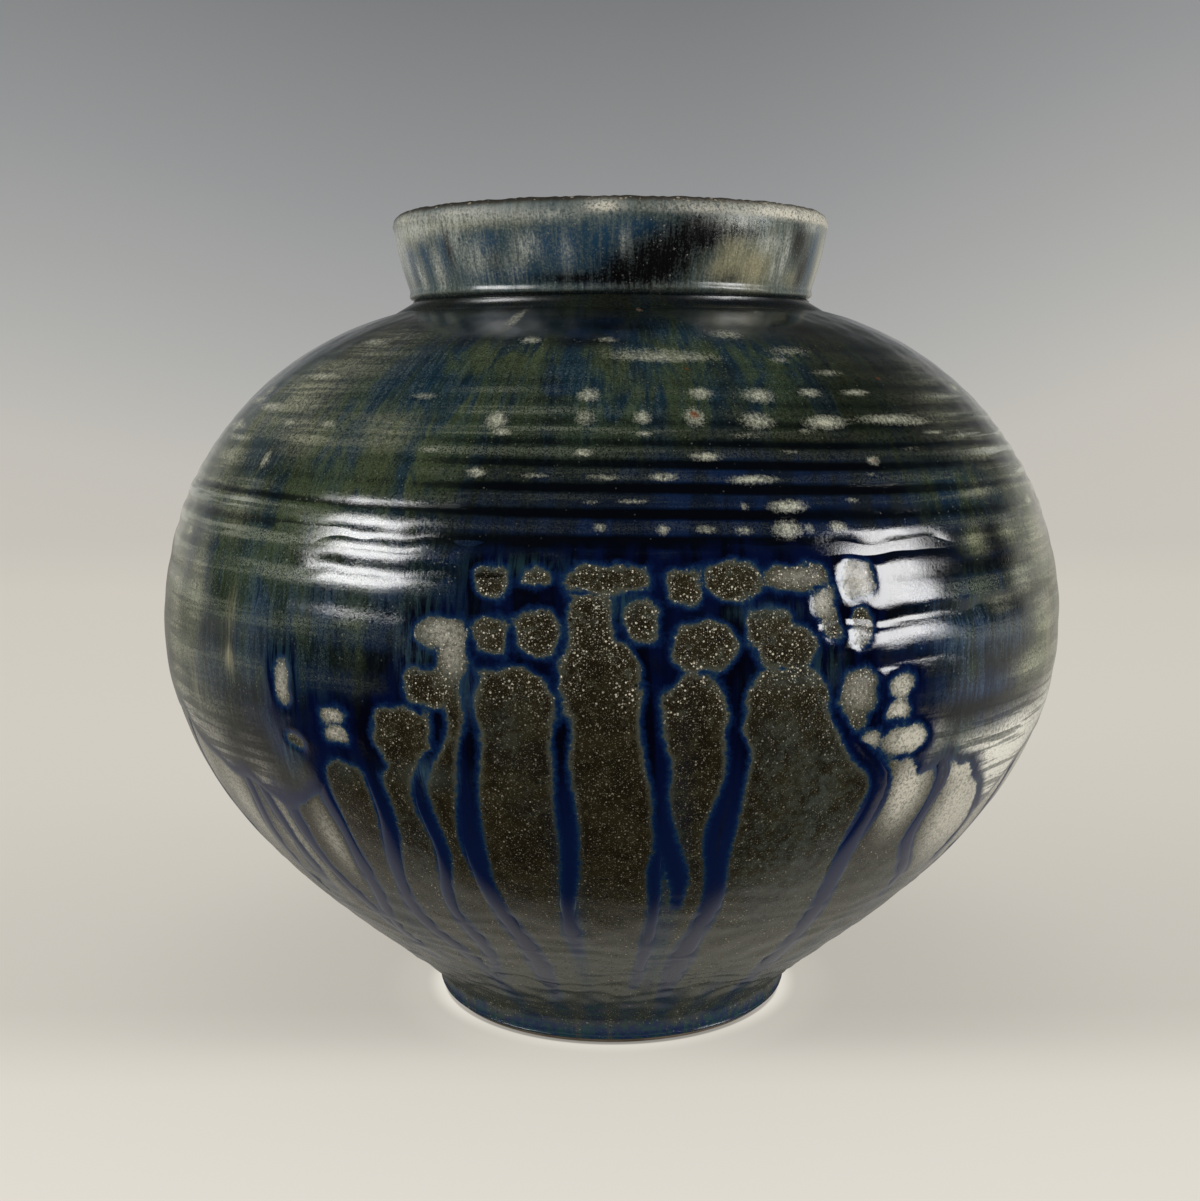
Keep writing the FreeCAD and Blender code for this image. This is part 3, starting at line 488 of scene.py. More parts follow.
# Pale ivory patches: glaze on the brown cells' tops, and on the lower flanks partly a painted reflection of
# the table's edge
cream_and_reflection_patches = (
    (25.4, 110, 2.0, 4.6, 0.35), (31, 110.5, 1.5, 3.0, 0.8), (30.6, 104.8, 1.5, 2.4, 0.9),
    (27.5, 98.6, 1.4, 2.4, 0.5), (33, 97.5, 3.0, 3.4, 1.0), (34.5, 84, 2.6, 9, 0.9), (44, 88, 3.6, 5, 1.0),
    (46, 76, 4.4, 10, 0.8), (54, 90, 6, 6, 1.0), (60, 78, 9, 9, 0.9), (52, 82, 5, 7, 1.0),
    (48, 70, 4, 9, 0.9), (66, 92, 7, 8, 0.7), (55, 62, 7, 10, 0.6), (72, 76, 8, 14, 0.6),
    (-16.2, 119, 1.6, 4, 0.4), (-17.5, 124.5, 2.6, 3.0, 0.5), (-30.6, 104, 1.5, 1.8, 0.6),
    (-30.2, 99.8, 1.6, 1.8, 0.6), (-37.5, 110, 1.0, 5, 0.6), (-44.5, 66, 2.6, 16, 0.5),
    (-54, 72, 3.6, 15, 0.6), (-62, 84, 5, 12, 0.5), (-36, 70, 1.6, 9, 0.4), (18.8, 135.6, 2.6, 2.0, 0.3),
    (21.7, 130, 1.3, 3.2, 0.6), (26, 134.5, 1.8, 3.6, 0.5), (104, 88, 7, 10, 0.6), (140, 80, 6, 12, 0.5),
    (178, 90, 6, 10, 0.5), (226, 86, 7, 12, 0.6), (262, 80, 7, 12, 0.5))
# Milky blue patches: glaze round the back, and under the right highlight and low on the left a painted
# reflection of the table
azure_and_reflection_patches = (
    (40.5, 119, 4.4, 4.6, 1.0), (49, 118, 5.0, 4.4, 0.9), (44, 106.5, 6.5, 2.6, 1.0), (36, 125, 3, 4, 0.5),
    (47, 98, 7, 2.4, 0.5), (-21, 121, 1.6, 5, 0.8), (-25, 131, 4, 3, 0.4), (-33, 128, 4, 6, 0.5),
    (-42, 126, 3, 10, 0.6), (-20, 92, 3, 3, 0.9), (-14.5, 112, 1.6, 6, 0.4), (-39, 96, 2, 8, 0.6),
    (20.5, 113.5, 2.6, 2.2, 0.5), (15, 128.6, 2.6, 1.4, 0.5), (-53, 110, 5, 8, 0.5), (96, 108, 6, 6, 0.7),
    (133, 112, 6, 5, 0.6), (170, 106, 7, 6, 0.7), (204, 112, 6, 6, 0.6), (240, 104, 6, 6, 0.7),
    (276, 110, 6, 6, 0.6))
clouded_patches = (
    (17, 100, 3.4, 8, 0.5), (22, 88, 5, 12, 0.6), (20, 72, 7, 12, 0.65), (24, 58, 8, 12, 0.65),
    (-11, 104, 2.4, 7, 0.4), (-23, 70, 3, 14, 0.4), (-9, 88, 2.2, 8, 0.2), (-2, 34, 14, 8, 0.4),
    (-46, 56, 5, 20, 0.5), (-58, 66, 5, 20, 0.6), (38, 62, 4, 14, 0.5), (50, 50, 6, 14, 0.6),
    (92, 70, 8, 20, 0.6), (128, 62, 8, 20, 0.5), (165, 74, 9, 20, 0.6), (202, 60, 8, 18, 0.5),
    (238, 74, 9, 20, 0.6), (276, 64, 8, 18, 0.5))
gold_streaks = (
    (-46.5, 124.5, 0.7, 4.5, 0.8), (-46.5, 113.5, 0.8, 3.2, 0.9), (62, 112, 1.6, 10, 0.5),
    (57, 88, 2.4, 7, 0.6), (68, 96, 3, 12, 0.6), (-56, 104, 1.0, 9, 0.4), (104, 120, 2, 12, 0.5),
    (150, 116, 2, 10, 0.5), (212, 124, 2, 12, 0.5), (262, 112, 2, 10, 0.5))
rust_dots = (
    (6.0, 193.5, 0.6, 0.35, 1.0), (10.5, 179.5, 0.35, 0.4, 1.0), (10.0, 169.4, 0.7, 1.0, 1.0),
    (32.0, 158.8, 0.4, 0.5, 1.0), (42.5, 177, 0.6, 0.6, 0.8), (-16, 146, 0.3, 0.4, 0.6),
    (70, 168, 0.5, 0.6, 0.9), (120, 172, 0.6, 0.7, 0.9), (205, 160, 0.6, 0.6, 0.9),
    (262, 171, 0.6, 0.7, 0.9))


def patch_sum(bearing, run, patches, hardness=1.0):
    """Strength of soft patches at each place, from 0 to about 1."""
    rest = np.ones_like(bearing)
    for centre, height, half_turn, half_height, strength in patches:
        across = sideways(bearing, centre) / half_turn
        half_run = (wall.run_at(height + half_height) - wall.run_at(height - half_height)) / 2
        along = (run - wall.run_at(height)) / max(half_run, 0.6 * half_height)
        reach = np.exp(-(across ** 2 + along ** 2) * hardness)
        rest *= 1 - np.clip(strength * reach, 0, 1)
    return 1 - rest


def scattered_spots(count, seed):
    """Pale spots on the ring crests round the sides and back, where the photograph doesn't look."""
    rng = np.random.default_rng(seed)
    spots = []
    for index in range(count):
        height = ring_crests[rng.integers(5, 15)][0]
        spots.append((rng.uniform(62, 298), height, rng.uniform(0.7, 3.2), rng.uniform(0.6, 1.6),
                      rng.uniform(0.3, 0.9)))
    return tuple(spots)


# Faint blue streaks low on the brown ground, as (bearing, height, half width in degrees, half
# height, strength)
blue_stains = (
    (-5.5, 48, 1.3, 30, 0.8), (6.8, 46, 1.4, 30, 0.85), (-38, 30, 2.2, 14, 0.7), (-32.5, 36, 1.6, 18, 0.6),
    (-21, 44, 1.2, 16, 0.6), (-26, 17, 3.2, 9, 0.8), (-14, 15, 3.0, 9, 0.8), (-5, 13, 3.6, 7, 0.8),
    (4, 14, 3.0, 8, 0.7), (13.5, 15, 3.2, 9, 0.9), (23, 18, 2.6, 11, 0.6), (34, 15, 3.4, 9, 0.9),
    (41, 28, 2.2, 16, 0.8), (49, 30, 2.4, 18, 0.7), (-48, 28, 3.0, 16, 0.7), (60, 24, 3.0, 12, 0.7),
    (73, 34, 2.6, 18, 0.7), (87, 16, 4, 9, 0.8), (98, 40, 2, 16, 0.6), (111, 26, 3, 14, 0.7),
    (122, 50, 2, 18, 0.6), (133, 16, 4, 9, 0.8), (147, 36, 3, 16, 0.6), (159, 28, 3, 14, 0.7),
    (171, 46, 2, 18, 0.6), (184, 16, 4, 9, 0.8), (195, 40, 2, 18, 0.6), (208, 26, 3, 14, 0.7),
    (220, 50, 2, 16, 0.6), (233, 30, 3, 16, 0.7), (244, 42, 2, 18, 0.6), (256, 16, 4, 9, 0.8),
    (270, 38, 3, 16, 0.6), (283, 30, 3, 14, 0.7), (296, 36, 3, 16, 0.7))


def paint_wall(mesh, bearing, run, depths=None):
    """Writes what the wall's glazes read, one value for each vertex."""
    net, depth = depths or blue_depth(bearing, run)
    wave, strength = ring_wave(bearing, run)
    fields = {
        "net": net,
        "blue": depth,
        "crest": np.clip(0.5 + 0.5 * wave * np.clip(strength, 0, 1.3), 0, 1),
        "spot": patch_sum(bearing, run, pale_spots + scattered_spots(90, 4), 1.4),
        "olive": patch_sum(bearing, run, olive_patches),
        "teal": patch_sum(bearing, run, teal_patches),
        "navy": patch_sum(bearing, run, navy_patches),
        "rust": patch_sum(bearing, run, rust_dots),
        "stain": patch_sum(bearing, run, blue_stains + tuple((*pool, 1.0) for pool in foot_pools)),
        "ashy": patch_sum(bearing, run, ashy_patches),
        "cream": patch_sum(bearing, run, cream_and_reflection_patches),
        "azure": patch_sum(bearing, run, azure_and_reflection_patches),
        "clouded": patch_sum(bearing, run, clouded_patches),
        "gold": patch_sum(bearing, run, gold_streaks),
        "level": np.interp(run, wall.run, wall.z),
    }
    for name, values in fields.items():
        mesh.attributes.new(name, "FLOAT", "POINT").data.foreach_set("value", values.astype(np.float32))
    paint_around(mesh, bearing, run)


def paint_around(mesh, bearing, run):
    """Writes a place on a straight drum of 100 mm radius, for streaks that follow the wall."""
    turn = np.radians(bearing)
    around = np.c_[100 * np.sin(turn), -100 * np.cos(turn), run]
    mesh.attributes.new("around", "FLOAT_VECTOR", "POINT").data.foreach_set(
        "vector", around.astype(np.float32).ravel())


def turned_skin(name, rows, columns):
    """Closed skin turned about the jar's axis, and the bearing, run, lift and liveness of its vertices.
    Each row is (run, lift from the clay, how much of the relief it takes)."""
    rows = np.array(rows, float)
    radii, heights = wall.place(rows[:, 0], rows[:, 1])
    points = [Vector((max(radius, 0) * MM, 0, height * MM)) for radius, height in zip(radii, heights)]
    bpy.ops.object.select_all(action="DESELECT")
    bpy.ops.mesh.primitive_plane_add(size=MM, location=points[0])
    skin = bpy.context.object
    skin.name = name
    bpy.ops.object.transform_apply(location=True)
    bpy.ops.object.mode_set(mode="EDIT")
    bpy.ops.mesh.select_mode(type="VERT")
    bpy.ops.mesh.select_all(action="SELECT")
    bpy.ops.mesh.merge(type="CENTER")
    for start, end in zip(points, points[1:]):
        bpy.ops.mesh.extrude_vertices_move(TRANSFORM_OT_translate={"value": end - start})
    bpy.ops.object.mode_set(mode="OBJECT")
    mark = skin.data.attributes.new("row", "FLOAT", "POINT")
    mark.data.foreach_set("value", np.arange(len(points), dtype=np.float32))
    bpy.ops.object.mode_set(mode="EDIT")
    bpy.ops.mesh.select_all(action="DESELECT")
    bpy.ops.object.mode_set(mode="OBJECT")
    closed = points[0].x > 0 and points[-1].x > 0
    if closed:
        skin.data.vertices[0].select = True
        skin.data.vertices[len(points) - 1].select = True
        bpy.ops.object.mode_set(mode="EDIT")
        bpy.ops.mesh.edge_face_add()
        bpy.ops.object.mode_set(mode="OBJECT")
    bpy.ops.object.mode_set(mode="EDIT")
    bpy.ops.mesh.select_all(action="SELECT")
    bpy.ops.mesh.spin(steps=columns, angle=2 * math.pi, center=(0, 0, 0), axis=(0, 0, 1))
    bpy.ops.mesh.select_all(action="SELECT")
    bpy.ops.mesh.remove_doubles(threshold=1e-6)
    bpy.ops.mesh.normals_make_consistent(inside=False)
    bpy.ops.object.mode_set(mode="OBJECT")
    count = len(skin.data.vertices)
    row = np.empty(count, np.float32)
    skin.data.attributes["row"].data.foreach_get("value", row)
    skin.data.attributes.remove(skin.data.attributes["row"])
    places = np.empty(count * 3, np.float32)
    skin.data.vertices.foreach_get("co", places)
    x, y, z = places.reshape(-1, 3).T.astype(float)
    turn = np.arctan2(x, -y)
    turn -= FRONT_CROWDING * np.sin(turn)
    index = np.arange(len(rows))
    run, lift, live = (np.interp(row, index, rows[:, column]) for column in range(3))
    return skin, np.degrees(turn), run, lift, live


def set_skin(skin, bearing, run, lift):
    """Moves each vertex to its bearing, run and lift over the clay."""
    radius, height = wall.place(run, lift)
    turn = np.radians(bearing)
    places = np.c_[radius * np.sin(turn), -radius * np.cos(turn), height] * MM
    skin.data.vertices.foreach_set("co", places.astype(np.float32).ravel())
    skin.data.update()
    bpy.ops.object.select_all(action="DESELECT")
    skin.select_set(True)
    bpy.context.view_layer.objects.active = skin
    bpy.ops.object.shade_smooth()


def stretch(start, end, step, lift, live):
    """Evenly spaced rows between two runs."""
    count = max(2, round(abs(end - start) / step) + 1)
    return [(run, lift, live) for run in np.linspace(start, end, count)]


def slow_waves(bearing, run):
    """Unevenness that the hand leaves in a thrown wall under a melted glaze."""
    return ripple(bearing, run, (0.10, 3, 170, 0.5), (0.06, 8, 75, 1.9), (0.04, -13, 52, 0.2),
                  (0.035, 21, 33, 2.6), (0.025, -34, 24, 0.9), (0.014, 57, 17, 0.5), (0.012, -71, 13, 1.7))


def ground_lift(bearing, run, net):
    """Relief of the ground coat: rings, the raised net of blue and rolls of thick glaze at the foot."""
    wave, strength = ring_wave(bearing, run)
    height = np.interp(run, wall.run, wall.z)
    relief = (RING_RISE * wave * strength - groove_depth(bearing, run)) * (1 - smooth(141, 147, height))
    relief += 0.30 * smooth(-0.7, 1.1, net) * (1 - smooth(139, 145, height))
    relief += slow_waves(bearing, run) * smooth(4, 20, height) * (1 - smooth(139, 145, height))
    sway = ripple(bearing, run, (2.6, 4, 47, 0), (2.0, 9, 31, 1), (1.1, -17, 26, 2))
    rolls = np.sin(2 * np.pi * run / 7.1 + sway)
    lumps = ripple(bearing, run, (0.6, 19, 21, 0.4), (0.5, -31, 14, 2.2), (0.4, 47, 10, 1.1),
                   (0.4, 11, 9, 0.6))
    relief += (0.11 * rolls + 0.13 * lumps) * smooth(3, 9, height) * (1 - smooth(26, 84, height))
    pool = np.full_like(bearing, -30.0)
    for place in foot_pools:
        pool = np.maximum(pool, -blob_distance(bearing, run, place, 2))
    relief += 0.18 * smooth(-2, 1.5, pool) * (1 - smooth(9, 14, height))
    return relief


def make_ground_coat():
    first = wall.run_at(1.3)
    dense_end = wall.run_at(146)
    neck = wall.marks["neck"]
    rows = [(first, 0.03, 0), (first + 0.12, 0.36, 0), (first + 0.45, 0.62, 0.1), (first + 1.0, 0.76, 0.4)]
    rows += stretch(first + 1.9, dense_end, 1.12, ground_thickness, 1)
    rows += stretch(dense_end + 3, neck, 8, ground_thickness - 0.05, 0)
    rows += stretch(neck, first + 6, 12, 0.34, 0)
    rows += [(first + 3, 0.03, 0)]
    skin, bearing, run, lift, live = turned_skin("ground_coat", rows, 512)
    depths = blue_depth(bearing, run)
    set_skin(skin, bearing, run, lift + live * ground_lift(bearing, run, depths[0]))
    paint_wall(skin.data, bearing, run, depths)
    return skin


def make_ash_coat():
    first = wall.run_at(136.2)
    neck = wall.marks["neck"]
    rows = [(first, 0.50, 0)] + stretch(first + 0.8, neck, 0.76, ash_thickness, 1)
    rows += stretch(neck - 0.2, first + 4, 9, 0.96, 0) + [(first + 2, 0.6, 0)]
    skin, bearing, run, lift, live = turned_skin("ash_coat", rows, 512)
    wave, strength = ring_wave(bearing, run)
    start = first + 0.8 + ripple(bearing, run, (0.6, 5, 900, 0), (0.5, 12, 900, 1.2))
    rise = smooth(start - 2, start + 9, run)
    relief = RING_RISE * wave * strength - groove_depth(bearing, run) + slow_waves(bearing, run)
    relief += 0.10 * patch_sum(bearing, run, pale_spots, 1.4)
    lift = np.where(live > 0.5, 0.58 + (ash_thickness - 0.58) * rise + relief, lift)
    set_skin(skin, bearing, run, lift)
    paint_wall(skin.data, bearing, run)
    return skin


def make_collar_coat():
    foot = wall.marks["neck"] - 0.9
    top = wall.marks["collar"]
    lip = wall.marks["lip"]
    rows = [(foot, 0.02, 0), (foot, 0.5, 0)]
    rows += stretch(foot + 0.3, foot + 6, 0.28, collar_coat_thickness, 1)
    rows += stretch(foot + 6.6, top, 0.6, collar_coat_thickness, 1)
    rows += stretch(top + 0.3, lip - 0.4, 0.35, lip_coat_thickness, 0.8)
    rows += [(lip, 0.62, 0), (lip, 0.02, 0)]
    rows += stretch(lip - 0.8, top + 0.4, 0.8, 0.02, 0)
    rows += stretch(top, foot + 1, 2.5, 0.02, 0)
    skin, bearing, run, lift, live = turned_skin("collar_coat", rows, 448)
    level = run - foot
    bead = 0.75 * np.exp(-((level - 2.9 - ripple(bearing, run, (0.25, 5, 1e6, 0))) / 0.95) ** 2)
    groove = -0.55 * np.exp(-((level - 0.5) / 0.8) ** 2)
    pull = ripple(bearing, run, (0.05, 17, 90, 0.3), (0.05, 29, 60, 1.0), (0.03, -43, 30, 0))
    turn = np.radians(bearing)
    crust = 0.10 * smooth(top - 1.5, top + 1, run) * np.sin(turn * 90 + 2 * np.sin(turn * 31))
    set_skin(skin, bearing, run, lift + live * (bead + groove + pull + crust))
    paint_around(skin.data, bearing, run)
    fields = {
        "level": (run - foot) / (top - foot),
        "pale": patch_sum(bearing, run, collar_pale, 1.0),
        "tan": patch_sum(bearing, run, collar_tan, 1.0),
        "navy": patch_sum(bearing, run, collar_navy, 1.0),
        "night": patch_sum(bearing, run, collar_night, 1.0),
        "crust": patch_sum(bearing, run, collar_crust, 1.0),
    }
    for name, values in fields.items():
        skin.data.attributes.new(name, "FLOAT", "POINT").data.foreach_set("value", values.astype(np.float32))
    return skin


# Patches of colour on the collar, as (bearing, height, half width in degrees, half height, strength)
collar_pale = (
    (-78, 214, 12, 7, 0.8), (-58, 217.0, 14, 3.0, 0.9), (-36, 218, 12, 1.8, 0.7), (-17, 218, 12, 1.4, 0.6),
    (-61, 205.5, 2.0, 3.6, 1.0), (-51, 206.5, 2.0, 4.6, 1.0), (-42, 213, 2.2, 3.6, 0.5),
    (-36, 208, 5, 5, 0.5), (-21, 211, 3.4, 3, 0.7), (-70, 208, 3, 6, 0.6), (-11, 209, 1.6, 4, 0.4),
    (3, 212, 1.4, 3, 0.4), (-25, 206, 3, 3, 0.35), (43, 212, 4, 2.6, 0.7), (50, 209.5, 1.8, 5.5, 0.8),
    (46, 206, 1.2, 3, 0.5), (76, 209, 3.5, 9, 0.5), (87, 212, 6, 9, 0.55), (34, 217, 10, 1.6, 0.5),
    (63, 217.5, 6, 1.6, 0.6), (104, 210, 9, 9, 0.4), (130, 214, 20, 5, 0.5), (175, 214, 25, 5, 0.5),
    (215, 208, 12, 8, 0.5), (250, 215, 18, 4, 0.6), (275, 210, 8, 8, 0.5))
collar_tan = (
    (38, 206, 7.5, 6, 1.0), (31, 210, 4, 6, 0.8), (28, 205, 4, 3, 0.6), (77, 208, 5, 9, 0.9),
    (56, 204, 5, 2.5, 0.5), (-45, 217, 24, 1.8, 0.5), (-66, 215, 10, 2.5, 0.5), (150, 208, 14, 6, 0.6),
    (240, 207, 12, 6, 0.6))
collar_navy = (
    (-67, 209, 6, 6, 1.0), (-56, 210, 2.4, 7, 0.9), (-47, 211, 3, 6, 0.8), (-32, 212, 6, 4, 0.8),
    (-14, 211, 7, 6, 1.0), (-28, 204, 14, 2.4, 0.8), (-3, 208, 8, 7, 1.0), (6, 214.5, 9, 2.6, 1.0),
    (66, 210, 2.6, 7, 1.0), (120, 210, 14, 7, 0.6), (195, 211, 14, 7, 0.7), (265, 211, 12, 6, 0.6))
collar_night = (
    (4, 205, 9, 5, 0.8), (13, 208, 8, 7, 1.0), (22, 214, 7, 4.5, 1.0), (31, 203, 4, 2, 0.5),
    (33, 215, 6, 2, 0.6), (56, 213, 5, 5, 0.8), (61, 206, 3, 5, 0.8), (-45, 212, 1.4, 5, 0.7),
    (-8, 203, 14, 1.6, 0.7), (-30, 207, 2.5, 4, 0.3), (165, 207, 12, 6, 0.7), (228, 206, 10, 6, 0.7))
collar_crust = (
    (22, 221, 12, 2.0, 0.5), (46, 221, 14, 2.4, 1.0), (66, 221, 16, 2.6, 1.0), (86, 221, 14, 2.6, 1.0),
    (-2, 221.5, 4, 2, 1.0), (-66, 220, 10, 1.8, 0.5), (-40, 220.5, 10, 1.4, 0.4), (110, 221, 20, 2.4, 0.6),
    (150, 221, 18, 2, 0.5), (200, 221, 20, 2, 0.6), (250, 221, 20, 2, 0.5))


def make_liner_coat():
    start = wall.marks["lip"]
    end = wall.marks["floor"]
    rows = stretch(start, end, 2.4, liner_thickness, 1)
    rows += stretch(end, start, 6, 0.02, 0)
    skin, bearing, run, lift, live = turned_skin("liner_coat", rows, 256)
    height = np.interp(run, wall.run, wall.z)
    spiral = np.sin(2 * np.pi * (run / 9 + bearing / 360)) * smooth(16, 40, height)
    middle = smooth(6, 30, end - run)
    set_skin(skin, bearing, run, lift + live * 0.16 * spiral * middle * smooth(start, start + 20, run))
    paint_around(skin.data, bearing, run)
    return skin


def make_glaze_runs():
    """Raised blue trails: one straight rod with a lens section, copied and laid along each path."""
    bpy.ops.object.select_all(action="DESELECT")
    bpy.ops.mesh.primitive_circle_add(vertices=16, radius=MM, fill_type="NGON", location=(0, 0, 0))
    rod = bpy.context.object
    bpy.ops.object.mode_set(mode="EDIT")
    for step in range(TRAIL_STEPS):
        bpy.ops.mesh.select_all(action="DESELECT")
        bpy.ops.object.mode_set(mode="OBJECT")
        for face in rod.data.polygons:
            face.select = face.center.z > (step - 0.5) * MM and abs(face.normal.z) > 0.9
        bpy.ops.object.mode_set(mode="EDIT")
        bpy.ops.mesh.select_mode(type="FACE")
        bpy.ops.mesh.extrude_region_move(TRANSFORM_OT_translate={"value": (0, 0, MM)})
    bpy.ops.mesh.select_all(action="SELECT")
    bpy.ops.mesh.normals_make_consistent(inside=False)
    bpy.ops.object.mode_set(mode="OBJECT")
    places = np.empty(len(rod.data.vertices) * 3, np.float32)
    rod.data.vertices.foreach_get("co", places)
    x, y, z = places.reshape(-1, 3).T.astype(float) / MM
    trails = []
    for width_share, path in glaze_trails:
        line = trail_path(path)
        length = np.concatenate([[0], np.cumsum(np.hypot(
            np.radians(np.diff(line[:, 0])) * 110, np.diff(line[:, 1])))])
        half_end = TRAIL_WIDTH * width_share / 2
        along = -half_end * 0.5 + (length[-1] + 1.5 * half_end) * (z / TRAIL_STEPS)
        share = np.clip(along / length[-1], 0, 1)
        bearing = np.interp(along, length, line[:, 0])
        run = np.interp(along, length, line[:, 1])
        run = run - np.maximum(along - length[-1], 0) + np.maximum(-along, 0)
        over = np.maximum(along - length[-1], 0) / half_end
        under = np.maximum(-along, 0) / half_end
        close = np.sqrt(np.clip(1 - over ** 2, 0, 1)) * np.sqrt(np.clip(1 - (under / 0.5) ** 2, 0, 1))
        width = trail_half_width(width_share, share) * (0.10 + 0.90 * close)
        radius = np.interp(run, wall.run, wall.r)
        dip = 0.40 * (1 - close) ** 0.7
        place_bearing = bearing + np.degrees(width * x / radius)
        net, depth = blue_depth(place_bearing, run)
        # A trail stands over the brown ground and sinks into the blue net above it
        height = np.interp(run, wall.run, wall.z)
        crest = 0.16 * (1 - smooth(-0.8, 1.2, net)) - 1.2 * smooth(92, 106, height) - dip
        crest = crest - 0.30 * smooth(length[-1] - 16, length[-1] - 2, along)
        lift = ground_thickness - 0.30 + np.where(y > 0, (crest + 0.30) * np.clip(y, 0, 1) ** 0.8, 0.12 * y)
        trail = rod.copy()
        trail.data = rod.data.copy()
        bpy.context.collection.objects.link(trail)
        set_skin(trail, place_bearing, run, lift + slow_waves(place_bearing, run))
        paint_wall(trail.data, place_bearing, run, (net, depth))
        trails.append(trail)
    bpy.data.objects.remove(rod)
    bpy.ops.object.select_all(action="DESELECT")
    for trail in trails:
        trail.select_set(True)
    bpy.context.view_layer.objects.active = trails[0]
    bpy.ops.object.join()
    runs = bpy.context.object
    runs.name = "blue_runs"
    bpy.ops.object.mode_set(mode="EDIT")
    bpy.ops.mesh.select_all(action="SELECT")
    bpy.ops.mesh.normals_make_consistent(inside=False)
    bpy.ops.object.mode_set(mode="OBJECT")
    return runs


# Places of the colour sockets on a mix node
MIX_FIRST, MIX_SECOND, MIX_RESULT = 6, 7, 2


class Quantity:
    """A number that varies over a surface, as a socket that takes part in sums."""

    def __init__(self, recipe, socket):
        self.recipe = recipe
        self.socket = socket

    def work(self, operation, first, second, clamp=False):
        return self.recipe.make("ShaderNodeMath", {"operation": operation, "use_clamp": clamp},
                                {0: first, 1: second})

    def __add__(self, other):
        return self.work("ADD", self, other)

    def __radd__(self, other):
        return self.work("ADD", other, self)

    def __sub__(self, other):
        return self.work("SUBTRACT", self, other)

    def __rsub__(self, other):
        return self.work("SUBTRACT", other, self)

    def __mul__(self, other):
        return self.work("MULTIPLY", self, other)

    def __rmul__(self, other):
        return self.work("MULTIPLY", other, self)

    def __truediv__(self, other):
        return self.work("DIVIDE", self, other)

    def __pow__(self, other):
        return self.work("POWER", self, other)

    def held(self):
        """Kept between 0 and 1."""
        return self.work("ADD", self, 0.0, clamp=True)

    def step(self, low, high):
        """Smooth step from 0 at low to 1 at high."""
        return self.recipe.make("ShaderNodeMapRange", {"interpolation_type": "SMOOTHSTEP"},
                                {"Value": self, "From Min": low, "From Max": high})

    def beside(self, name):
        """Another output of the node that this one comes from."""
        return self.recipe.read_output(self.socket.node, name)


class Recipe:
    """Nodes of a material, or of the room's light."""

    def __init__(self, owner, output="ShaderNodeOutputMaterial"):
        owner.use_nodes = True
        self.owner = owner
        self.nodes = owner.node_tree.nodes
        self.links = owner.node_tree.links
        self.nodes.clear()
        self.output = self.nodes.new(output)

    def make(self, kind, settings, sockets, output=0):
        """A node of a kind: its settings first, then the values or links of its sockets."""
        node = self.nodes.new(kind)
        for name, value in settings.items():
            if name == "stops":
                self.set_stops(node.color_ramp.elements, value)
            else:
                setattr(node, name, value)
        for name, value in sockets.items():
            socket = node.inputs[name]
            if isinstance(value, Quantity):
                value = value.socket
            if isinstance(value, bpy.types.NodeSocket):
                self.links.new(value, socket)
            elif socket.type == "RGBA":
                socket.default_value = (*value, 1)
            else:
                socket.default_value = value
        return self.read_output(node, output)

    def read_output(self, node, name):
        found = node.outputs[name]
        return Quantity(self, found) if found.type == "VALUE" else found

    def set_stops(self, elements, stops):
        while len(elements) < len(stops):
            elements.new(0.5)
        for element, (where, colour) in zip(elements, stops):
            element.position = where
            element.color = (*colour, 1)

    def place(self):
        """Place on the object, in millimetres."""
        found = self.make("ShaderNodeTexCoord", {}, {}, "Object")
        return self.make("ShaderNodeVectorMath", {"operation": "SCALE"}, {"Vector": found, "Scale": 1 / MM})

    def read(self, name):
        """A value that the mesh holds at each vertex."""
        return self.make("ShaderNodeAttribute", {"attribute_name": name}, {}, "Fac")

    def drum(self, across, along):
        """Place on the straight drum that the mesh holds, scaled apart across and along the wall."""
        found = self.make("ShaderNodeAttribute", {"attribute_name": "around"}, {}, "Vector")
        return self.make("ShaderNodeVectorMath", {"operation": "MULTIPLY"},
                         {0: found, 1: (across, across, along)})

    def noise(self, place, scale, detail=3.0, rough=0.55, bend=0.0):
        """Noise from about 0.25 to 0.75, with this many features per millimetre."""
        return self.make("ShaderNodeTexNoise", {}, {
            "Vector": place, "Scale": scale, "Detail": detail, "Roughness": rough, "Distortion": bend})

    def specks(self, place, scale, chance, size, seed=0.0):
        """Small round specks: 1 inside a speck, for this chance of one in each cell."""
        shifted = self.make("ShaderNodeVectorMath", {"operation": "ADD"}, {0: place, 1: (seed, seed, seed)})
        near = self.make("ShaderNodeTexVoronoi", {}, {"Vector": shifted, "Scale": scale}, "Distance")
        luck = self.make("ShaderNodeSeparateColor", {}, {"Color": near.beside("Color")})
        girth = 0.6 + luck.beside("Green")
        return (chance - luck).step(0.0, 0.06) * (size * girth - near).step(0.0, 0.12)

    def mix(self, share, first, second):
        """Colour between two colours."""
        return self.make("ShaderNodeMix", {"data_type": "RGBA"},
                         {0: share, MIX_FIRST: first, MIX_SECOND: second}, MIX_RESULT)

    def finish(self, colour, rough, bump, bump_depth, index):
        """Glaze or clay from its colour, roughness, relief in millimetres and refractive index."""
        normal = self.make("ShaderNodeBump", {}, {
            "Height": bump, "Strength": 1.0, "Distance": bump_depth * MM})
        shader = self.make("ShaderNodeBsdfPrincipled", {}, {
            "Base Color": colour, "Roughness": rough, "IOR": index, "Normal": normal})
        return self.show(shader)

    def show(self, shader):
        self.links.new(shader, self.output.inputs["Surface"])
        return self.owner


